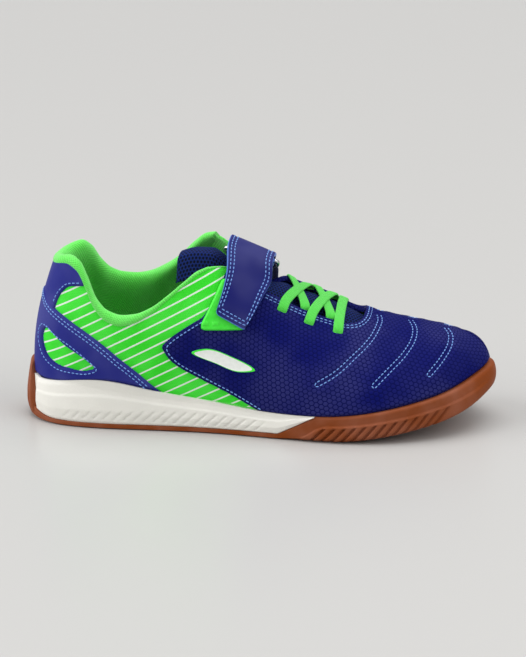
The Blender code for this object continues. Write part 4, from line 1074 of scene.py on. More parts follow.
def lengths(points, axis):
    """Running length along an axis of a grid of points."""
    step = np.linalg.norm(np.diff(points, axis=axis), axis=-1)
    first = np.zeros_like(np.take(step, [0], axis))
    return np.concatenate([first, np.cumsum(step, axis=axis)], axis=axis)


def both_sides(lateral):
    """Angles once round: heel, lateral side, toe, medial side."""
    return np.concatenate([lateral, FULL_TURN - lateral[-2:0:-1]])


def front_turns(start):
    """Fine stations from a place on the side to the toe, close together round the end of the throat."""
    side_step, throat_step, toe_count = 1.5, 0.5, 64
    side = turn_of(np.arange(start, 163, side_step))
    throat = turn_of(np.arange(163.2, 178.2, throat_step))
    return np.concatenate([side, throat, np.linspace(throat[-1], HALF_TURN, toe_count)[1:]])


def rounded(distance, radius):
    """0 at an edge, 1 from the radius inward, along a quarter circle."""
    return np.sqrt(np.clip(1 - (1 - np.clip(distance / radius, 0, 1)) ** 2, 0, 1))


def flatten(points):
    """Flat layout of a sheet with little stretch, in millimetres, with its first axis along the shoe."""
    shape = Shape()
    shape.quads(shape.add(points))
    flat = np.concatenate(shape.points)
    first, index = welded(flat)
    faces = [list(dict.fromkeys(index[corners].tolist())) for corners in shape.faces]
    mesh = bpy.data.meshes.new("layout")
    mesh.from_pydata(flat[first].tolist(), [], [f for f in faces if len(f) > 2])
    layout = bpy.data.objects.new("layout", mesh)
    bpy.context.scene.collection.objects.link(layout)
    bpy.context.view_layer.objects.active = layout
    layout.select_set(True)
    mesh.uv_layers.new(name="layout")
    bpy.ops.object.mode_set(mode="EDIT")
    bpy.ops.mesh.select_all(action="SELECT")
    bpy.ops.uv.unwrap(method="MINIMUM_STRETCH", iterations=12, margin=0.0)
    bpy.ops.object.mode_set(mode="OBJECT")
    corner = np.zeros(len(mesh.loops) * 2, np.float32)
    mesh.uv_layers[0].data.foreach_get("uv", corner)
    vertex = np.zeros(len(mesh.loops), np.int32)
    mesh.loops.foreach_get("vertex_index", vertex)
    place = np.zeros((len(mesh.vertices), 2))
    place[vertex] = corner.reshape(-1, 2)
    ends = np.array([edge.vertices[:] for edge in mesh.edges])
    real = np.linalg.norm(flat[first][ends[:, 0]] - flat[first][ends[:, 1]], axis=1).sum()
    drawn = np.linalg.norm(place[ends[:, 0]] - place[ends[:, 1]], axis=1).sum()
    place = place * real / drawn
    bpy.data.objects.remove(layout, do_unlink=True)
    bpy.data.meshes.remove(mesh)
    centred = place - place.mean(0)
    lean = np.linalg.lstsq(centred, flat[first][:, 0] - flat[first][:, 0].mean(), rcond=None)[0]
    turn = math.atan2(lean[1], lean[0])
    rotate = np.array([[math.cos(turn), -math.sin(turn)], [math.sin(turn), math.cos(turn)]])
    place = centred @ rotate
    return stack(place[:, 0], place[:, 1], 0.0)[index].reshape(points.shape)


# Form of one stitch: way along it, girth and sink, as shares of its half length and thickness
STITCH_SECTION = (
    (-1.0, 0.25, 0.32), (-0.8, 0.78, 0.12), (-0.35, 1.0, 0.0),
    (0.35, 1.0, 0.0), (0.8, 0.78, 0.12), (1.0, 0.25, 0.32),
)
STITCH_SIDES = 6
STITCH_RISE = 0.12


def sewn(shape, path, normal):
    """Adds a row of stitches along a path of points, which lie half sunk in the surface."""
    path = np.asarray(path, float)
    reach = np.concatenate([[0], np.cumsum(np.linalg.norm(np.diff(path, axis=0), axis=1))])
    count = max(2, int(round(reach[-1] / size("pitch"))))
    middles = (np.arange(count) + 0.5) * reach[-1] / count

    def at(distance, table):
        return np.stack([np.interp(distance, reach, table[:, k]) for k in range(3)], -1)

    half = size("stitch") / 2
    start, end = at(middles - half, path), at(middles + half, path)
    up = unit(at(middles, normal))
    ahead = unit(end - start)
    across = unit(np.cross(up, ahead))
    centre = (start + end) / 2 + up * STITCH_RISE * size("thread")
    wide = size("thread") / 2
    steps, girth, sink = np.array(STITCH_SECTION).T
    turns = np.arange(STITCH_SIDES + 1) * FULL_TURN / STITCH_SIDES
    swing = np.stack([np.cos(turns), np.sin(turns)])[:, None, :, None]
    ring = across[:, None, :] * swing[0] + up[:, None, :] * swing[1]
    body = (
        centre[:, None, None, :]
        + ahead[:, None, None, :] * (steps * half)[None, :, None, None]
        + ring[:, None, :, :] * (girth * wide)[None, :, None, None]
        - up[:, None, None, :] * (sink * wide * 2)[None, :, None, None]
    )
    for grid in shape.add(body):
        shape.quads(grid)
        shape.face(grid[0, :-1])
        shape.face(grid[-1, -2::-1])


def sewn_on_last(shape, points, lift, inset=0.0):
    """A row of stitches on the last beside a path. A positive inset is to the left, seen from outside."""
    points = np.asarray(points, float)
    if inset:
        angle, climb = pin(points)
        aside = unit(np.cross(last_normal(angle, climb), unit(np.gradient(points, axis=0))))
        points = points + aside * inset
    angle, climb = pin(points)
    normal = last_normal(angle, climb)
    sewn(shape, last(angle, climb) + normal * lift, normal)


def round_trip(path, aside):
    """Points down one side of a path on the last, round its end and back up the other side."""
    ahead = unit(np.gradient(path, axis=0))
    across = unit(np.cross(last_normal(*pin(path)), ahead)) * aside
    swing = np.linspace(0, HALF_TURN, 11)[1:-1, None]
    tip = path[-1] + across[-1] * np.cos(swing) + ahead[-1] * aside * np.sin(swing)
    return np.concatenate([path + across, tip, (path - across)[::-1]])


def mirrored(points):
    """The same path on the other side of the shoe."""
    angle, climb = pin(points)
    return last(FULL_TURN - angle, climb)


# Pieces of the upper


def edge_path(*lines):
    """Fine points along several border lines, four to each of their points."""
    return np.concatenate([curve_through(line, 4 * len(line)) for line in lines])


def build_quarter():
    """Green textile upper, one hollow shell open at the collar and the throat."""
    rows, heel_count = 70, 90
    heel = np.linspace(0, float(turn_of(100)), heel_count)
    lateral = np.concatenate([heel, front_turns(101.5)])
    angle = both_sides(lateral)
    angle = np.append(angle, angle[0] + FULL_TURN)
    top = trim(angle % FULL_TURN, QUARTER_WIDER)
    climb = np.minimum(np.linspace(0, 1, rows)[:, None], top[None, :])
    outer, normal = surface(np.broadcast_to(angle, climb.shape), climb)
    inner = outer - normal * QUARTER_WALL
    inner[0, :, 2] = outer[0, :, 2]
    tuck = 1 - above_hem(outer, angle)
    outer = outer - normal * (QUARTER_TUCK * tuck)[..., None]
    along = lengths(inner, 1)[rows // 2]
    cloth = stack(np.broadcast_to(along, climb.shape), lengths(inner, 0), 0.0)
    shape = Shape()
    shape.slab(shape.add(outer), shape.add(inner, cloth), edge=1, back=1)
    shape.make("quarter", [lined_textile(), knit_cloth()], "upper", ("upper",))


# Section of the collar roll: way down from the top line, and height off the last
COLLAR_SECTION = (
    (4.9, -0.5), (4.6, 0.4), (4.0, 0.95), (3.0, 1.3), (1.8, 1.3), (0.7, 1.0), (-0.2, 0.4), (-0.8, -0.6),
    (-0.9, -1.9), (-0.4, -3.2), (0.8, -4.4), (2.8, -5.2), (6, -5.6), (11, -5.2), (18, -4.2), (26, -3.4),
    (34, -3.0),
)
COLLAR_REACH = 124.0
COLLAR_COUNT, COLLAR_CROWDING = 440, 1.7
COLLAR_SOFT = 40
# Tapers of the roll's outside and of its padding toward the front: loss, and where it starts and ends
COLLAR_TAPERS = ((0.58, 50, 76), (0.3, 88, 104)), ((0.62, 76, 104), (0.24, 90, 106))
LINING_LOW, LINING_END, LINING_ROWS = 0.05, 0.03, 16


def build_collar():
    """Padded knit roll along the collar, and the lining that runs down inside from it."""
    ends = float(turn_of(COLLAR_REACH))
    way = np.linspace(-1, 1, COLLAR_COUNT)
    angle = ends * np.sign(way) * (1 - (1 - np.abs(way)) ** COLLAR_CROWDING)
    top = trim(angle % FULL_TURN)
    point = last(angle, top)
    outward = unit(softened(last_normal(angle, top), COLLAR_SOFT))
    step = 0.003
    up = last(angle, top + step) - last(angle, top - step)
    speed = np.linalg.norm(up, axis=1) / (2 * step)
    up = unit(softened(unit(up), COLLAR_SOFT))
    x = point[:, 0]
    slim, pad = (1 - sum(loss * ease(low, high, x) for loss, low, high in taper) for taper in COLLAR_TAPERS)
    rows = []
    section = curve_through(COLLAR_SECTION, 46)
    for down, off in section:
        off = off * (slim if off > 0 else pad)
        if down <= 0:
            rows.append(point - up * (down * slim)[:, None] + outward * off[:, None])
        else:
            climb = np.maximum(top - down * slim / speed, LINING_LOW)
            rows.append(last(angle, climb) + last_normal(angle, climb) * off[:, None])
    deepest = np.maximum(top - section[-1, 0] * slim / speed, LINING_LOW)
    for share in np.linspace(0, 1, LINING_ROWS)[1:]:
        climb = deepest * (1 - share) + LINING_END * share
        rows.append(last(angle, climb) - last_normal(angle, climb) * (section[-1, 1] * -pad)[:, None])
    grid = np.stack(rows)
    along = lengths(grid, 1)[20] - lengths(grid, 1)[20].mean()
    cloth = stack(np.broadcast_to(along, grid.shape[:2]), lengths(grid, 0), 0.0)
    shape = Shape()
    shape.quads(shape.add(grid, cloth))
    made = shape.make("collar_lining", [bpy.data.materials["collar_knit"]], "upper", sharp=80)


def arc_paths():
    """Middle lines of the sewn arcs on both sides of the vamp."""
    paths = []
    for rows in ARCS:
        path = last(*pin(curve_through(rows, 60)))
        paths += [path, mirrored(path)]
    return paths


# Fold of the vamp into the throat: rise over its edge, and share of the leather's height or depth below
VAMP_FOLD = ((0.5, 0.86), (0.85, 0.5), (1.0, 0.0), (1.0, -1.4), (0.6, -2.3))
VAMP_ROWS, VAMP_EDGE, VAMP_BACK = 110, 1.5, 0.35


def build_vamp():
    """Embossed leather panel over the toe and sides, folded over the edge of the throat."""
    thick = size("panel")
    rear = turn_of(PANEL_REACH + 16 * np.linspace(0, 1, 34) ** 2)
    lateral = np.concatenate([rear, front_turns(88)])
    angle = np.concatenate([lateral, FULL_TURN - lateral[-2::-1]])
    x = station_x(angle)
    border = WALL_TOP(angle) - HEM_DEPTH
    hem = np.where(x < PANEL_HEM, np.maximum(PANEL_LOW(x), border), border)
    low = climb_at(angle, hem)
    top = trim(angle)
    joined = top > RIDGE_CLIMB
    free = x < PANEL_FREE
    high = np.where(free, np.minimum(climb_at(angle, PANEL_HIGH(x)), top), top)
    cut = free & (high < top - 1e-4)
    climb = np.clip(np.linspace(0, 1, VAMP_ROWS)[:, None], low[None, :], high[None, :])
    climb[0], climb[-1] = low, high
    base, normal = surface(np.broadcast_to(angle, climb.shape), climb)
    halves = slice(None, len(lateral)), slice(len(lateral), None)
    free_edges = (base[0], hem > border), (base[-1], cut)
    borders = [row[half][kept[half]] for half in halves for row, kept in free_edges]
    gone = away_from(base, edge_path(*borders))
    lift = overlay(thick, np.minimum(rounded(gone, VAMP_EDGE), above_hem(base, angle)))
    for path in arc_paths():
        gone = away_from(base, curve_through(path, 200))
        trough = ARC_TROUGH * np.exp(-(gone / ARC_TROUGH_WIDE) ** 2)
        lift -= trough - ARC_SWELL * np.exp(-((gone - ARC_SWELL_AWAY) / ARC_SWELL_WIDE) ** 2)
    outer = base + normal * lift[..., None]
    step = 0.002
    fold_up = unit(last(angle, high + step) - last(angle, high - step))
    rolls = []
    for rise, off in VAMP_FOLD:
        edge = base[-1] + fold_up * rise + normal[-1] * (off * thick if off > 0 else off)
        rolls.append(np.where((joined | cut)[:, None], outer[-1], edge))
    outer = np.concatenate([outer, np.stack(rolls)])
    under = base - normal * VAMP_BACK
    inner = np.concatenate([under, np.repeat(under[-1:], len(rolls), 0)])
    cloth = flatten(outer)
    shape = Shape()
    shape.slab(shape.add(outer, cloth), shape.add(inner, cloth))
    shape.make("vamp", [embossed_leather()], "vamp_panel", ("vamp_panel",), sharp=70)


def in_outline(points, outline):
    """True where a point of the side view lies inside a closed outline."""
    x, z = points[..., 0], points[..., 2]
    inside = np.zeros(x.shape, bool)
    for (x0, z0), (x1, z1) in zip(outline, np.roll(outline, -1, 0)):
        crosses = (z0 > z) != (z1 > z)
        rise = np.where(z1 == z0, TINY, z1 - z0)
        inside ^= crosses & (x < (x1 - x0) * (z - z0) / rise + x0)
    return inside


def closed_outline(rows, before, count):
    """Smooth closed outline through points of the side view, drawn with a lap before and after."""
    line = curve_through(rows[-before:] + rows + rows[:3], count)
    lap = int(count * OUTLINE_LAP)
    gone = np.linalg.norm(line - np.array(rows[0], float), axis=1)
    return line[np.argmin(gone[:lap]):count - lap + np.argmin(gone[count - lap:])]


def window_outline():
    """Outline of the window in the counter."""
    return closed_outline(TEARDROP, 3, 240)


def heel_turns(reach, count):
    """Angles round the heel from one side to the other, to a station on both."""
    ends = float(turn_of(reach))
    return np.linspace(-ends, ends, count)


# Heel leather: radius of its edges, the window's rim and depth, depth of the backs and least height
HEEL_EDGE, WINDOW_EDGE, WINDOW_RIM, WINDOW_SINK = 1.3, 1.1, 0.4, 0.5
COUNTER_BACK, PATCH_BACK, LEAST_CLIMB = 0.7, 0.5, 0.004


def build_counter():
    """Leather heel counter, with its window pressed below the textile."""
    angle = heel_turns(COUNTER_REACH, 340)
    turn = angle % FULL_TURN
    low = climb_at(turn, WALL_TOP(turn) - HEM_DEPTH)
    high = np.maximum(climb_at(turn, COUNTER_TOP(station_x(angle))), low + LEAST_CLIMB)
    base, normal = sheet(turn, low, high, 120)
    gone = away_from(base, edge_path(base[-1]))
    outline = window_outline()
    side_view = base * np.array([1, 0, 1])
    hole = away_from(side_view, stack(outline[:, 0], 0.0, outline[:, 1]))
    hole = np.where(in_outline(base, outline), -hole, hole)
    share = np.minimum(rounded(gone, HEEL_EDGE), rounded(hole, WINDOW_EDGE))
    lift = overlay(size("panel"), np.minimum(share, above_hem(base, turn)))
    lift = np.where(hole < -WINDOW_RIM, -WINDOW_SINK, lift)
    shape = Shape()
    shape.slab(shape.add(base + normal * lift[..., None]), shape.add(base - normal * COUNTER_BACK))
    finish = smooth_leather("heel_leather", "heel")
    shape.make("heel_counter_leather", [finish], "heel_counter", ("heel_counter",), sharp=70)


def build_patch():
    """Leather patch at the top of the heel, under the collar roll."""
    thick = size("panel") * PATCH_THICK
    angle = heel_turns(PATCH_REACH, 240)
    turn = angle % FULL_TURN
    low = climb_at(turn, PATCH_LOW(station_x(angle)))
    high = np.maximum(trim(turn) - PATCH_BELOW, low + LEAST_CLIMB)
    base, normal = sheet(turn, low, high, 60)
    gone = away_from(base, edge_path(base[0], base[:, 0], base[:, -1]))
    lift = overlay(thick, rounded(gone, HEEL_EDGE))
    shape = Shape()
    shape.slab(shape.add(base + normal * lift[..., None]), shape.add(base - normal * PATCH_BACK))
    finish = bpy.data.materials["heel_leather"]
    shape.make("heel_patch_leather", [finish], "heel_patch", ("heel_patch",), sharp=70)


# Stations of the seam along the panel's rear edge, down its lower border and up its upper one
REAR_SEAM_LOW = (122, 114, 106, 97, 87, 82.5, 76.6, 73.6, 71.4)
REAR_SEAM_HIGH = (71.4, 73.6, 77, 82.5, 87.2, 91.8, 97, 101.8)
ARC_SEAM_SINK = 0.2


def build_seams():
    """Rows of light thread on the vamp, the panel's rear edge, the throat, the counter and the patch."""
    lift = size("panel")
    shape = Shape()
    for path in arc_paths():
        sewn_on_last(shape, round_trip(path, ARC_ROWS_APART / 2), lift - ARC_SEAM_SINK)
    rear, upper = turn_of(np.array(REAR_SEAM_LOW)), turn_of(np.array(REAR_SEAM_HIGH))
    heights = np.concatenate([PANEL_LOW(station_x(rear)), PANEL_HIGH(station_x(upper))])
    for side in (-1, 1):
        turns = on_half(np.concatenate([rear, upper]), side)
        path = curve_through(last(turns, climb_at(turns, heights)), 120)
        sewn_on_last(shape, path, lift, PANEL_SEAM * side)
    throat = turn_of(np.concatenate([np.arange(124, 163, 2.0), np.arange(163.5, 175.6, 0.25)]))
    throat = np.concatenate([throat, FULL_TURN - throat[::-1]])
    edge = softened(curve_through(last(throat, trim(throat)), 400), 60)
    for inset in THROAT_SEAMS:
        sewn_on_last(shape, edge, lift, inset)
    shape.make("vamp_seams", [sewing_thread()], "vamp_panel")
    heel = Shape()
    angle = heel_turns(64, 200) % FULL_TURN
    top = last(angle, climb_at(angle, COUNTER_TOP(station_x(angle))))
    for inset in COUNTER_SEAMS:
        sewn_on_last(heel, top, lift, inset)
    outline = window_outline()
    grown = outline + unit(outline - outline.mean(0)) * WINDOW_SEAM
    for side in (-1, 1):
        sewn_on_last(heel, last(*on_side(grown[:, 0], grown[:, 1], side)), lift)
    stations = np.concatenate([np.linspace(13, 15.6, 12), np.linspace(16, 26.5, 20)])
    for side in (-1, 1):
        angle = on_half(turn_of(stations), side)
        low = last(angle, climb_at(angle, PATCH_LOW(station_x(angle))))
        sewn_on_last(heel, low, lift * PATCH_THICK, -PATCH_SEAM * side)
    heel.make("heel_seams", [bpy.data.materials["sewing_thread"]], "heel_counter")


def build_badge():
    """Plain white slanted lozenge with a green border, on both sides."""
    shape = Shape()
    outline = closed_outline(BADGE, 2, 300)
    middle = outline.mean(0)
    for side in (-1, 1):
        rings = []
        for share, height in BADGE_SECTION:
            spot = middle + (outline - middle) * share
            point, normal = surface(*on_side(spot[:, 0], spot[:, 1], side))
            rings.append(point + normal * (size("panel") + height - BADGE_SINK))
        grid = shape.add(np.stack(rings))
        shape.hoops(grid[:BADGE_BORDER + 1], 1)
        shape.hoops(grid[BADGE_BORDER:], 0)
        shape.face(grid[-1], 0)
    finish = [plain("badge_white", tint("line"), 0.45), plain("badge_green", tint("green"), 0.5)]
    shape.make("side_badge", finish, "vamp_panel")


# Tongue, strap and laces


def build_tongue():
    """Padded mesh tongue under the throat."""
    start = TONGUE[0][0]
    tip, end, crowding = 7.5, TONGUE[-1][0], 1.6
    x = start + tip * np.linspace(0, 1, 24) ** crowding
    x = np.concatenate([x, np.linspace(x[-1] + 1, end, 110)])
    across = np.sin(np.linspace(-1, 1, 47) * HALF_TURN / 2)
    half = TONGUE_HALF(x)
    away = across[:, None] * half[None, :]
    middle = instep_middle(x)
    side = ease(*TONGUE_SIDES, np.abs(away))
    fall = TONGUE_ROUND - np.sqrt(TONGUE_ROUND ** 2 - away ** 2)
    fall = fall + TONGUE_SIDE_FALL * side * ease(*TONGUE_FALLS, x)
    wing = TONGUE_WING * ease(0.5, 1.0, np.abs(across))[:, None] * (1 - ease(*TONGUE_WINGS, x))
    rise = TONGUE_FOLLOW * instep_rise(x, middle + away)
    face = stack(np.broadcast_to(x, away.shape), middle + away, TONGUE_Z(x) - fall - wing + rise)
    normal = unit(np.cross(np.gradient(face, axis=1), np.gradient(face, axis=0)))
    thick = TONGUE_EDGE_THICK + TONGUE_PAD * (1 - np.abs(across[:, None]) ** 3) * np.ones_like(away)
    border = np.minimum((1 - np.abs(across))[:, None] * half[None, :], (x - start)[None, :])
    swell = (thick / 2 * rounded(border, TONGUE_EDGE))[..., None]
    core = face - normal * thick[..., None] / 2
    cloth = stack(lengths(face, 1), lengths(face, 0) - lengths(face, 0)[len(across) // 2], 0.0)
    shape = Shape()
    shape.slab(shape.add(core + normal * swell, cloth), shape.add(core - normal * swell, cloth))
    made = shape.make("tongue_pad", [open_mesh()], "tongue", ("tongue",), sharp=75)


def ring_frame():
    """Middle of the ring's near bar, directions along the bar, down the side and off the shoe."""
    across = unit(RING_ACROSS)
    down = unit(np.array(RING_DOWN) - across * (np.array(RING_DOWN) @ across))
    out = unit(np.cross(across, down))
    return np.array(RING_BAR), across, down, out * np.sign(out[2])


def strap_sheet():
    """Inner face of the strap: rows from its end over the instep and round the ring, columns across."""
    shares = np.sin(np.linspace(-1, 1, 21) * HALF_TURN / 2) / 2
    across = unit(STRAP_ACROSS)
    bar, ring_across, down, out = ring_frame()
    bend = WIRE + STRAP_OFF_WIRE
    rear, fore = np.array(STRAP_REAR, float)[:, None], np.array(STRAP_FORE, float)[:, None]
    spots = rear * (0.5 - shares)[None, :, None] + fore * (0.5 + shares)[None, :, None]
    x, z = spots[..., 0], spots[..., 1]
    z[0] += STRAP_CUT(shares)
    point, normal = surface(*on_side(x.ravel(), z.ravel()))
    near = (point + normal * STRAP_LIFT).reshape(*x.shape, 3)
    fine = 400
    keep = np.unique(np.concatenate([[0, 2, 5, 9], np.arange(14, fine - 1, 6), [fine - 1]]))
    columns = []
    for k, share in enumerate(shares):
        crest = [np.array(spot) + across * STRAP_WIDE * share for spot in STRAP_CREST]
        hub = bar + ring_across * STRAP_WIDE * share
        meet = hub + out * bend - down * 2.2
        line = curve_through(np.concatenate([near[:, k], crest, [meet]]), fine)[keep]
        turns = np.linspace(0, HALF_TURN, 13)
        wrap = [hub + bend * (out * math.cos(t) + down * math.sin(t)) for t in turns]
        back = [hub - out * bend - down * way for way in (3.0, 6.5)]
        columns.append(np.concatenate([line, wrap, back]))
    grid = np.stack(columns, 1)
    places = np.concatenate([
        [-0.5, -0.488, -0.471, -0.45], np.linspace(-0.43, 0.43, 41), [0.45, 0.471, 0.488, 0.5]
    ])
    parts = 480
    pick = np.round((places + 0.5) * parts).astype(int)
    return np.stack([curve_through(row, parts + 1)[pick] for row in grid]), places, len(keep)


def build_strap():
    """Leather strap with painted edges and two rows of stitches round it."""
    grid, places, line_rows = strap_sheet()
    normal = unit(np.cross(np.gradient(grid, axis=0), np.gradient(grid, axis=1)))
    if normal[3, len(places) // 2, 1] > 0:
        normal = -normal
    reach = lengths(grid, 0)
    border = np.minimum((0.5 - np.abs(places))[None, :] * STRAP_WIDE, reach)
    sag = STRAP_SAG * np.exp(-((border - STRAP_SAG_AWAY) / STRAP_SAG_WIDE) ** 2)
    lift = STRAP_THICK * (STRAP_EDGE_SHARE + STRAP_GAIN * rounded(border, STRAP_EDGE)) - sag
    outer = grid + normal * lift[..., None]
    shape = Shape()
    face, back = shape.add(outer), shape.add(grid)
    shape.quads(face[1:, 1:-1], 0)
    shape.quads(face[:2], 1)
    shape.quads(face[1:, :2], 1)
    shape.quads(face[1:, -2:], 1)
    shape.quads(back, 0)
    for line, under in (
        (face[0], back[0]), (face[-1], back[-1]), (face[:, 0], back[:, 0]), (face[:, -1], back[:, -1])
    ):
        shape.quads(np.stack([under, line]), 1)
    finish = [smooth_leather("strap_leather", "strap"), plain("strap_edge", tint("edge"), 0.5)]
    shape.make("strap_leather_band", finish, "strap", ("strap",), sharp=60)
    thread = Shape()
    for inset in STRAP_SEAMS:
        for side in (-1, 1):
            at = side * (0.5 - inset / STRAP_WIDE)
            column = np.interp(at, places, np.arange(len(places)))
            low = int(column)
            share = column - low
            path = outer[:, low] * (1 - share) + outer[:, low + 1] * share
            up = normal[:, low] * (1 - share) + normal[:, low + 1] * share
            first = int(np.searchsorted(reach[:, low], inset))
            sewn(thread, path[first:line_rows], up[first:line_rows])
        kept = np.nonzero(np.abs(places) <= 0.5 - inset / STRAP_WIDE)[0]
        path, up = [], []
        for k in kept:
            row = np.interp(inset, reach[:, k], np.arange(len(reach)))
            low, share = int(row), row - int(row)
            path.append(outer[low, k] * (1 - share) + outer[low + 1, k] * share)
            up.append(normal[low, k])
        sewn(thread, np.array(path), np.array(up))
    thread.make("strap_seams", [bpy.data.materials["sewing_thread"]], "strap")


def build_base():
    """Green plate under the strap's end, with two small raised marks."""
    x = np.linspace(BASE[0][0], BASE[-1][0], 110)
    angle = turn_of(x)
    base, normal = sheet(angle, climb_at(angle, BASE_LOW(x)), climb_at(angle, BASE_HIGH(x)), 70)
    border = away_from(base, edge_path(base[0], base[-1], base[:, 0], base[:, -1]))
    lift = BASE_LIFT + BASE_THICK * rounded(border, BASE_EDGE)
    for x0, z0 in BASE_MARKS:
        wide = np.abs(base[..., 0] - x0) / BASE_MARK_HALF[0]
        tall = np.abs(base[..., 2] - z0) / BASE_MARK_HALF[1]
        lift = lift + BASE_MARK_HIGH * (1 - ease(0.8, 1.15, np.maximum(wide, tall)))
    shape = Shape()
    shape.slab(shape.add(base + normal * lift[..., None]), shape.add(base + normal * BASE_BACK))
    finish = plain("plate_green", tint("green"), 0.42)
    shape.make("strap_plate", [finish], "strap_base", ("strap_base",))


def tube(shape, path, radius, sides=16):
    """Closed round wire along a closed path."""
    ahead = unit(np.roll(path, -1, 0) - np.roll(path, 1, 0))
    axis = unit(np.cross(path[0] - path[len(path) // 3], path[0] - path[2 * len(path) // 3]))
    flat = unit(np.cross(ahead, axis))
    turns = np.arange(sides) * FULL_TURN / sides
    ring = flat[:, None] * np.cos(turns)[None, :, None] + axis * np.sin(turns)[None, :, None]
    index = shape.add(path[:, None] + ring * radius)
    shape.hoops(np.concatenate([index, index[:1]]))


def build_ring():
    """Rectangular steel wire ring with rounded corners."""
    bar, across, down, _ = ring_frame()
    half_wide, half_deep = RING_WIDE / 2, RING_DEEP / 2
    path = []
    for side, end, start in ((1, 1, 0), (-1, 1, 90), (-1, -1, 180), (1, -1, 270)):
        for t in np.radians(start + np.linspace(0, 90, 13)):
            u = side * (half_wide - RING_CORNER) + RING_CORNER * math.cos(t)
            v = end * (half_deep - RING_CORNER) + RING_CORNER * math.sin(t)
            path.append(bar + across * u + down * (v + half_deep))
    shape = Shape()
    tube(shape, np.array(path), WIRE)
    steel = plain("ring_steel", tint("steel"), 0.24, metal=1.0, scale=900, relief=0.01)
    shape.make("ring_wire", [steel], "strap_ring", ("strap_ring",))


def band(shape, path, across, up, wide, thick):
    """Flat woven band along a path, with rounded edges and closed ends."""
    side_power, rise_power = 0.45, 0.7
    turns = np.linspace(0, FULL_TURN, 25)
    side = np.sign(np.cos(turns)) * np.abs(np.cos(turns)) ** side_power * wide / 2
    rise = np.sign(np.sin(turns)) * np.abs(np.sin(turns)) ** rise_power * thick / 2
    points = path[:, None] + across[:, None] * side[None, :, None] + up[:, None] * rise[None, :, None]
    along = np.broadcast_to(lengths(path[:, None], 0), points.shape[:2])
    index = shape.add(points, stack(along, np.broadcast_to(side, along.shape), 0.0))
    shape.quads(index)
    shape.face(index[0, :-1])
    shape.face(index[-1, -2::-1])


def build_ring_tab():
    """Webbing tab that holds the ring on the medial side."""
    bar, across, down, out = ring_frame()
    bar = bar + down * RING_DEEP + across * RING_TAB_SHIFT
    bend = WIRE + RING_TAB_OFF_WIRE
    turns = np.linspace(HALF_TURN, 0, 13)
    wrap = [bar + bend * (out * math.cos(t) - down * math.sin(t)) for t in turns]
    point, normal = surface(*on_side(np.full(3, bar[0] + 0.4), np.array(TAB_HEIGHTS), 1))
    tail = point + normal * RING_TAB_LIFT
    path = curve_through(np.concatenate([[wrap[0] + down * 2.0], wrap, tail]), 90)
    ahead = unit(np.gradient(path, axis=0))
    shape = Shape()
    beside = np.broadcast_to(across, path.shape)
    band(shape, path, beside, unit(np.cross(ahead, beside)), RING_TAB_WIDE, RING_TAB_THICK)
    finish = woven_band("webbing", tint("strap"), 0.9)
    shape.make("ring_webbing", [finish], "ring_tab", ("ring_tab",))


def across_throat(x, away, lift):
    """Points of a lace and directions off it: on the vamp beside the throat, nearly straight inside it."""

    def raised(off):
        angle, climb = over_instep(x, off)
        normal = last_normal(angle, climb)
        return last(angle, climb) + normal * lift[:, None], normal

    edge = np.full(len(x), LACE_SPAN)
    near, near_up = raised(-edge)
    far, far_up = raised(edge)
    beside, beside_up = raised(away)
    share = np.clip((away + LACE_SPAN) / (2 * LACE_SPAN), 0, 1)[:, None]
    inside = near * (1 - share) + far * share
    inside[:, 2] += LACE_CROWN * (1 - np.clip(away / LACE_SPAN, -1, 1) ** 2)
    out = (np.abs(away) >= LACE_SPAN)[:, None]
    inside_up = unit(near_up * (1 - share) + far_up * share)
    return np.where(out, beside, inside), np.where(out, beside_up, inside_up)


def softened(rows, passes):
    """Rows of points averaged with their neighbours, with the ends kept."""
    rows = rows.copy()
    for _ in range(passes):
        rows[1:-1] = (rows[:-2] + 2 * rows[1:-1] + rows[2:]) / 4
    return rows


def lace_strand(shape, ends, high, plunge):
    """One strand over the throat. plunge gives the way over which each end sinks, in millimetres."""
    (x0, away0), (x1, away1) = ends
    share = np.linspace(0, 1, 100)
    x, away = x0 + (x1 - x0) * share, away0 + (away1 - away0) * share
    reach = share * math.hypot(x1 - x0, away1 - away0)
    lift = LACE_LIFT + high * ease(*LACE_RISE, reach) * ease(*LACE_FALL, reach[-1] - reach)
    for way, gone in zip(plunge, (reach, reach[-1] - reach)):
        lift = lift - LACE_SINK * (1 - rounded(gone, way))
    path, normal = across_throat(x, away, lift)
    path, normal = softened(path, LACE_SOFT), softened(normal, LACE_TURN_SOFT)
    ahead = unit(np.gradient(path, axis=0))
    beside = unit(np.cross(ahead, normal))
    band(shape, path, beside, unit(np.cross(beside, ahead)), LACE_WIDE, LACE_THICK)


def build_laces():
    """Three elastic lacings: a bar in front and two crossings."""
    elastic = woven_band("lace_elastic", tint("lace"), 0.62)
    shape = Shape()
    lace_strand(shape, LACE_FRONT, 0.0, (LACE_STEEP, LACE_STEEP))
    shape.make("lace_front", [elastic], "lace_bar_front", ("lace_bar_front",))
    for name, node, over, under in (
        ("lace_middle", "lace_cross_middle", LACE_MIDDLE, LACE_MIDDLE_UNDER),
        ("lace_rear", "lace_cross_rear", LACE_REAR, LACE_REAR_UNDER),
    ):
        shape = Shape()
        lace_strand(shape, under, LACE_UNDER, (LACE_SLOW, LACE_STEEP))
        lace_strand(shape, over, LACE_OVER, (LACE_STEEP, LACE_SLOW))
        shape.make(name, [elastic], node, (node,))


# Sole


def tread_edge(angle):
    """Height of the outer edge of the tread, flat on the floor under the heel and the ball."""
    return np.maximum(BOTTOM(angle), 0)


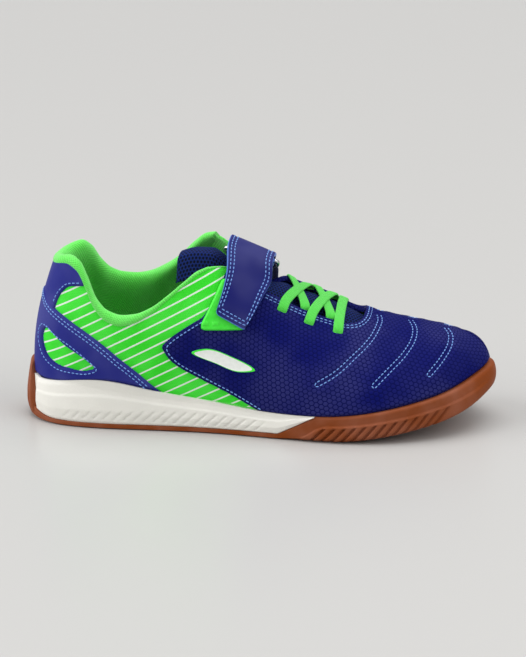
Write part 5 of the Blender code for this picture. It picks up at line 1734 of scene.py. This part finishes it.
def gum_top(angle):
    """Height of the gum's side: a plate behind, rising past the midsole's slanted end to a cup in front."""
    x = station_x(angle)
    share = np.clip((x - MID_END_LOW) / (MID_END_HIGH - MID_END_LOW), 0, 1)
    heel = HEEL_RISE * np.clip(1 - x / HEEL_RISE_LONG, 0, 1) ** HEEL_RISE_POWER
    return GUM_PLATE + heel + tread_edge(angle) * (1 - share) + (WALL_TOP(angle) - GUM_PLATE) * share


def seat_ring(angle, height, away):
    """Ring outside the upper's wall at a height, away from it."""
    climb = climb_at(angle, height)
    ring = last(angle, climb) + unit(last_normal(angle, climb) * np.array([1, 1, 0])) * away
    ring[:, 2] = height
    return ring


def sole_out(angle):
    """Level directions out of the sole's outline."""
    turn = 0.004
    ahead = stack(station_x(angle + turn), SOLE_Y(angle + turn), 0.0)
    along = ahead - stack(station_x(angle - turn), SOLE_Y(angle - turn), 0.0)
    return unit(np.stack([along[:, 1], -along[:, 0], 0 * along[:, 0]], -1))


def sole_ring(angle, height, inset):
    """Ring inside the sole's outline by an inset, at a height."""
    here = stack(station_x(angle), SOLE_Y(angle), 0.0)
    ring = here - sole_out(angle) * np.broadcast_to(np.asarray(inset, float), angle.shape)[:, None]
    ring[:, 2] = height
    return ring


def from_groove(x, first, pitch):
    """Distance from the nearest of evenly spaced grooves."""
    return np.abs((x - first + pitch / 2) % pitch - pitch / 2)


def sole_turns():
    """Stations of the outsole, close together at the grooves."""
    fine = [np.arange(143, 224, 0.42)] + [np.arange(c - 4, c + 4, 0.45) for c in HEEL_GROOVES]
    fine = np.unique(np.round(np.concatenate(fine), 3))
    even = np.linspace(0, HALF_TURN, 150)
    near = np.abs(station_x(even)[:, None] - fine[None, :]).min(axis=1)
    return np.sort(np.concatenate([even[near > 0.6], turn_of(fine)]))


def tread_relief(x, share):
    """Depth of the tread's grooves and of the hollow under the arch, by x and share of the width."""
    bent = x - GROOVE_BEND * np.abs(2 * share - 1)
    front = (1 - ease(0.4, 1.0, from_groove(bent, RIB_FIRST, RIB_PITCH))) * span(RIB_ZONE, bent)
    heel = np.zeros_like(x)
    for centre in HEEL_GROOVES:
        heel = np.maximum(heel, 1 - ease(0.5, 1.3, np.abs(bent + GROOVE_BEND - centre)))
    inside = ease(0, 0.03, share) * ease(0, 0.03, 1 - share)
    arch = span(ARCH, x) * ARCH_DEEP * np.sqrt(np.sin(HALF_TURN * share))
    return (np.maximum(front, heel) * GROOVE_DEEP + arch) * inside


def fill_across(shape, ring_index, ring, rows, relief=None):
    """Closes a ring of the sole from side to side."""
    count = len(ring)
    half = count // 2
    near = ring[:half + 1]
    far = ring[(count - np.arange(half + 1)) % count]
    grid = [ring_index[:half + 1]]
    for share in np.linspace(0, 1, rows)[1:-1]:
        row = near * (1 - share) + far * share
        if relief is not None:
            row[:, 2] += relief(row[:, 0], np.full(len(row), share))
        grid.append(shape.add(row))
        grid[-1][0], grid[-1][-1] = ring_index[0], ring_index[half]
    grid.append(ring_index[(count - np.arange(half + 1)) % count])
    shape.quads(np.stack(grid))


def add_heel_tab(shape):
    """Gum tab that runs up the back of the heel."""
    share = np.linspace(-1, 1, 61)

    def turn(wide):
        return (share * TAB_HALF_TURN * wide) % FULL_TURN

    crown = seat_ring(turn(TAB_CROWN_WIDE), TAB_TOP - TAB_CROWN_FALL * np.abs(share) ** 4, TAB_CROWN_OUT)
    lines = [sole_ring(turn(wide), tread_edge(turn(wide)) + high, inset) for wide, high, inset in TAB_FOOT]
    lines += [sole_ring(turn(wide), np.full(len(share), high), inset) for wide, high, inset in TAB_SIDE]
    lines = np.stack([*lines, (lines[-1] + crown) / 2 - np.array([TAB_BELLY, 0, 0]), crown])
    face = np.stack([curve_through(lines[:, k], 70) for k in range(len(share))], 1)
    normal = unit(np.cross(np.gradient(face, axis=1), np.gradient(face, axis=0)))
    if normal[20, 30, 0] > 0:
        normal = -normal
    way = lengths(face, 0)
    border = np.minimum((1 - np.abs(share))[None, :] * TAB_HALF_WIDE, way[-1:] - way)
    lean = np.abs(share[None, :]) * (1 + TAB_GROOVE_FAN * (0.5 - way / way[-1:]))
    groove = np.zeros_like(way)
    for centre in TAB_GROOVES:
        groove = np.maximum(groove, 1 - ease(0.015, 0.05, np.abs(lean - centre)))
    groove = groove * ease(2, 6, way) * ease(2.0, 4.5, border)
    lift = -TAB_EDGE_DROP * (1 - rounded(border, TAB_EDGE)) - TAB_GROOVE_DEEP * groove
    shape.slab(shape.add(face + normal * lift[..., None]), shape.add(face - normal * TAB_BACK))


def build_outsole():
    """Gum outsole: tread, ribbed cup round the forefoot and tab at the heel."""
    angle = both_sides(sole_turns())
    x = station_x(angle)
    bottom, top = tread_edge(angle), gum_top(angle)
    crown = BAND_TOP * ease(*BAND_TOP_ALONG, x)
    rings = []
    for share in np.linspace(0, 1, 32):
        bent = x - RIB_LEAN * (share - RIB_LEAN_FROM)
        groove = (1 - ease(0.45, 1.3, from_groove(bent, RIB_FIRST, RIB_PITCH))) * span(RIB_ZONE, bent)
        groove = groove * span((0.0, 0.06, 0.5, 0.6), share)
        raised = span((0.0, 0.06, crown - 0.035, crown + 0.02), share) * span(BAND_ALONG, x)
        soft = GUM_FOOT_ROUND * np.clip(1 - share / GUM_FOOT_SHARE, 0, 1) ** 2
        soft += GUM_TOP_ROUND * np.clip(1 - (1 - share) / GUM_TOP_SHARE, 0, 1) ** 2
        bulge = TOE_BULGE * ease(*TOE_BULGE_ALONG, x) * math.sin(HALF_TURN * share)
        inset = GUM_INSET + soft - bulge - RIB_OUT * raised + RIB_GROOVE_DEEP * groove
        rings.append(sole_ring(angle, bottom + share * (top - bottom), inset))
    seat = SEAT(angle)
    cup = ease(CUP_START - CUP_BLEND, CUP_START, x)[:, None]
    rim = sole_ring(angle, top, PLATE_RIM) * (1 - cup)
    rim = rim + seat_ring(angle, np.maximum(top, seat), SEAT_IN) * cup
    rim[:, 2] = top
    floor = np.where(x < CUP_START, np.minimum(top, seat - SEAT_BELOW), seat - SEAT_BELOW)
    low = sole_ring(angle, floor, PLATE_FLOOR) * (1 - cup) + seat_ring(angle, seat, SEAT_IN) * cup
    low[:, 2] = floor
    rings += [rim, low]
    shape = Shape()
    index = shape.add(np.stack(rings))
    shape.hoops(index)
    fill_across(shape, index[0], rings[0], 45, tread_relief)
    fill_across(shape, index[-1], rings[-1], 3)
    add_heel_tab(shape)
    shape.make("gum_outsole", [gum_rubber()], "outsole", ("outsole",), sharp=60)


# Section of the midsole's wall: share of its height and inset from the outline
MIDSOLE_SECTION = ((0, 1.7), (0.05, 1.1), (0.3, 0.5), (0.62, 0.8), (0.9, 1.5), (1, 2.5))


def build_midsole():
    """White foam midsole, horseshoe shaped, with a step and short strokes moulded into its wall."""
    stations = np.concatenate([np.arange(16, 128, 0.5), np.arange(129, MID_TIP, 1.2), [MID_TIP]])
    lateral = np.concatenate([np.linspace(0, float(turn_of(15.5)), 50), turn_of(stations)])
    angle = np.concatenate([lateral[::-1], FULL_TURN - lateral[1:]])
    x = station_x(angle)
    around = np.minimum(angle, FULL_TURN - angle)
    low = gum_top(angle) + MIDSOLE_GAP
    tall = np.maximum(WALL_TOP(angle) - low, MIDSOLE_LEAST)
    behind = 1 - ease(TAB_HALF_TURN, TAB_HALF_TURN * TAB_FADE, around)
    back_x = seat_ring(np.zeros(1), np.array([TAB_TOP]), TAB_BEHIND)[0, 0]
    out = sole_out(angle)
    outer, inner = [], []
    for share in np.linspace(0, 1, 34):
        inset = np.interp(share, *np.array(MIDSOLE_SECTION).T)
        inset = inset + MIDSOLE_STEP * ease(*MIDSOLE_STEP_AT, share)
        bent = x - STROKE_LEAN * share * tall
        stroke = 1 - ease(0.25, 0.95, from_groove(bent, STROKE_FIRST, STROKE_PITCH))
        reach = STROKE_SHARE + STROKE_MORE * ease(*STROKE_GROWS, x)
        stroke = stroke * ease(0.07, 0.13, share) * (1 - ease(reach, reach + 0.1, share))
        stroke = stroke * span(STROKES_ALONG, x)
        hidden = TAB_THICK + TAB_COVER + (back_x - TAB_THICK) * share * tall / (TAB_TOP - GUM_PLATE)
        inset = np.maximum(inset + STROKE_DEEP * stroke, hidden * behind)
        ring = sole_ring(angle, low + share * tall, inset)
        short = ((seat_ring(angle, ring[:, 2], MIDSOLE_OVER_UPPER) - ring) * out).sum(1)
        push = np.clip(short, 0, None) * (1 - behind) * ease(0.4, 0.7, share)
        outer.append(ring + out * push[:, None])
        inner.append(sole_ring(angle, ring[:, 2], np.maximum(inset + MIDSOLE_WALL, MIDSOLE_INSIDE)))
    shape = Shape()
    shape.slab(shape.add(np.stack(outer)), shape.add(np.stack(inner)))
    shape.make("foam_midsole", [midsole_foam()], "midsole", ("midsole",), sharp=60)


def build_insole():
    """Textile insole with raised edges."""
    angle = both_sides(np.linspace(0, HALF_TURN, 120))
    climb = np.full(len(angle), 0.02)
    edge = last(angle, climb) - last_normal(angle, climb) * INSOLE_IN
    low, high = edge.copy(), edge.copy()
    low[:, 2] = SEAT(angle) + INSOLE_LOW
    high[:, 2] = SEAT(angle) + INSOLE_HIGH

    def dish(_, share):
        return -INSOLE_DISH * ease(0, 0.16, np.minimum(share, 1 - share))

    shape = Shape()
    index = shape.add(np.stack([low, high]))
    shape.hoops(index)
    fill_across(shape, index[0], low, 3)
    fill_across(shape, index[1], high, 41, dish)
    points = np.concatenate(shape.points)
    shape.cloth = [points * np.array([1, 1, 0])]
    finish = woven_band("insole_weave", tint("navy"), 1.1)
    shape.make("insole_textile", [finish], "insole", ("insole",))


# Stage


def toward(turn, rise):
    """Direction from the shoe: turn from its lateral side toward the toe, rise over the floor."""
    return Vector((math.sin(turn) * math.cos(rise), -math.cos(turn) * math.cos(rise), math.sin(rise)))


def soft_sun(name, turn, rise, spread, power):
    """Even light from one direction, with soft shadows."""
    light = bpy.data.lights.new(name, "SUN")
    light.energy = power
    light.angle = math.radians(spread)
    made = bpy.data.objects.new(name, light)
    way = toward(math.radians(turn), math.radians(rise))
    made.rotation_euler = way.to_track_quat("Z", "Y").to_euler()
    bpy.context.scene.collection.objects.link(made)


def build_floor():
    """Large pale floor under the shoe."""
    mesh = bpy.data.meshes.new("floor")
    corners = [(-1, -1), (1, -1), (1, 1), (-1, 1)]
    mesh.from_pydata([(x * FLOOR_HALF, y * FLOOR_HALF, 0) for x, y in corners], [], [(0, 1, 2, 3)])
    paint = Paint("studio_floor", rough=0.34)
    paint.colour(tint("floor"))
    mesh.materials.append(paint.material)
    floor = bpy.data.objects.new("floor", mesh)
    floor.location.z = FLOOR_Z
    bpy.context.scene.collection.objects.link(floor)


def build_light():
    """Even white sky and soft lights."""
    settings = bpy.context.scene.shoe_stage
    world = bpy.data.worlds.new("studio")
    world.use_nodes = True
    sky = world.node_tree.nodes["Background"]
    sky.inputs["Color"].default_value = (1, 1, 1, 1)
    sky.inputs["Strength"].default_value = settings.sky
    bpy.context.scene.world = world
    for name, turn, rise, spread, share in LIGHTS:
        soft_sun(name, turn, rise, spread, settings.key * share)


def build_camera():
    """Camera of the photograph."""
    scene = bpy.context.scene
    settings = scene.shoe_stage
    camera = bpy.data.cameras.new("camera")
    camera.sensor_width = SENSOR
    camera.lens = FOCAL_PIXELS * SENSOR / PICTURE_TALL
    made = bpy.data.objects.new("camera", camera)
    back = toward(settings.azimuth, settings.elevation)
    aim = Vector((settings.aim_x, -ORIGIN[1] * MM, settings.aim_z))
    made.location = aim + back * settings.distance
    made.rotation_euler = back.to_track_quat("Z", "Y").to_euler()
    scene.collection.objects.link(made)
    scene.camera = made
    scene.view_settings.view_transform = "Standard"


class PieceOperator:
    """Shared part of the operators: runs the class's own build steps in order."""

    bl_options = {"REGISTER"}
    steps = ()

    def execute(self, context):
        for step in self.steps:
            step()
        return {"FINISHED"}


class SHOE_OT_quarter(PieceOperator, bpy.types.Operator):
    """Build the green textile upper"""

    bl_idname = "shoe.quarter"
    bl_label = "Quarter"
    steps = (build_quarter,)


class SHOE_OT_collar(PieceOperator, bpy.types.Operator):
    """Build the padded collar and the lining"""

    bl_idname = "shoe.collar"
    bl_label = "Collar and lining"
    steps = (build_collar,)


class SHOE_OT_vamp(PieceOperator, bpy.types.Operator):
    """Build the embossed vamp and the side badges"""

    bl_idname = "shoe.vamp"
    bl_label = "Vamp"
    steps = (build_vamp, build_badge)


class SHOE_OT_heel(PieceOperator, bpy.types.Operator):
    """Build the heel counter and the heel patch"""

    bl_idname = "shoe.heel"
    bl_label = "Heel leather"
    steps = (build_counter, build_patch)


class SHOE_OT_seams(PieceOperator, bpy.types.Operator):
    """Sew the rows of stitches on the upper"""

    bl_idname = "shoe.seams"
    bl_label = "Seams"
    steps = (build_seams,)


class SHOE_OT_tongue(PieceOperator, bpy.types.Operator):
    """Build the padded mesh tongue"""

    bl_idname = "shoe.tongue"
    bl_label = "Tongue"
    steps = (build_tongue,)


class SHOE_OT_strap(PieceOperator, bpy.types.Operator):
    """Build the strap, its plate, the ring and the ring's tab"""

    bl_idname = "shoe.strap"
    bl_label = "Strap and ring"
    steps = (build_strap, build_base, build_ring, build_ring_tab)


class SHOE_OT_laces(PieceOperator, bpy.types.Operator):
    """Build the elastic laces"""

    bl_idname = "shoe.laces"
    bl_label = "Laces"
    steps = (build_laces,)


class SHOE_OT_sole(PieceOperator, bpy.types.Operator):
    """Build the outsole, the midsole and the insole"""

    bl_idname = "shoe.sole"
    bl_label = "Sole"
    steps = (build_outsole, build_midsole, build_insole)


class SHOE_OT_stage(PieceOperator, bpy.types.Operator):
    """Set the floor, the light and the camera"""

    bl_idname = "shoe.stage"
    bl_label = "Stage"
    steps = (build_floor, build_light, build_camera)


OPERATORS = (
    SHOE_OT_quarter, SHOE_OT_collar, SHOE_OT_vamp, SHOE_OT_heel, SHOE_OT_seams,
    SHOE_OT_tongue, SHOE_OT_strap, SHOE_OT_laces, SHOE_OT_sole, SHOE_OT_stage,
)


class SHOE_PT_panel(bpy.types.Panel):
    """Steps and settings of the shoe"""

    bl_label = "Shoe"
    bl_idname = "SHOE_PT_panel"
    bl_space_type = "VIEW_3D"
    bl_region_type = "UI"
    bl_category = "Shoe"

    def draw(self, context):
        for step in OPERATORS:
            self.layout.operator(step.bl_idname)
        for group in (context.scene.shoe_sizes, context.scene.shoe_colours, context.scene.shoe_stage):
            box = self.layout.box()
            for key in group.__annotations__:
                box.prop(group, key)


CLASSES = (ShoeSizes, ShoeColours, ShoeStage, *OPERATORS, SHOE_PT_panel)


def register():
    for item in CLASSES:
        bpy.utils.register_class(item)
    bpy.types.Scene.shoe_sizes = PointerProperty(type=ShoeSizes)
    bpy.types.Scene.shoe_colours = PointerProperty(type=ShoeColours)
    bpy.types.Scene.shoe_stage = PointerProperty(type=ShoeStage)


def unregister():
    for name in ("shoe_sizes", "shoe_colours", "shoe_stage"):
        delattr(bpy.types.Scene, name)
    for item in reversed(CLASSES):
        bpy.utils.unregister_class(item)


def main():
    register()
    for step in OPERATORS:
        group, name = step.bl_idname.split(".")
        getattr(getattr(bpy.ops, group), name)()


if __name__ == "__main__":
    main()
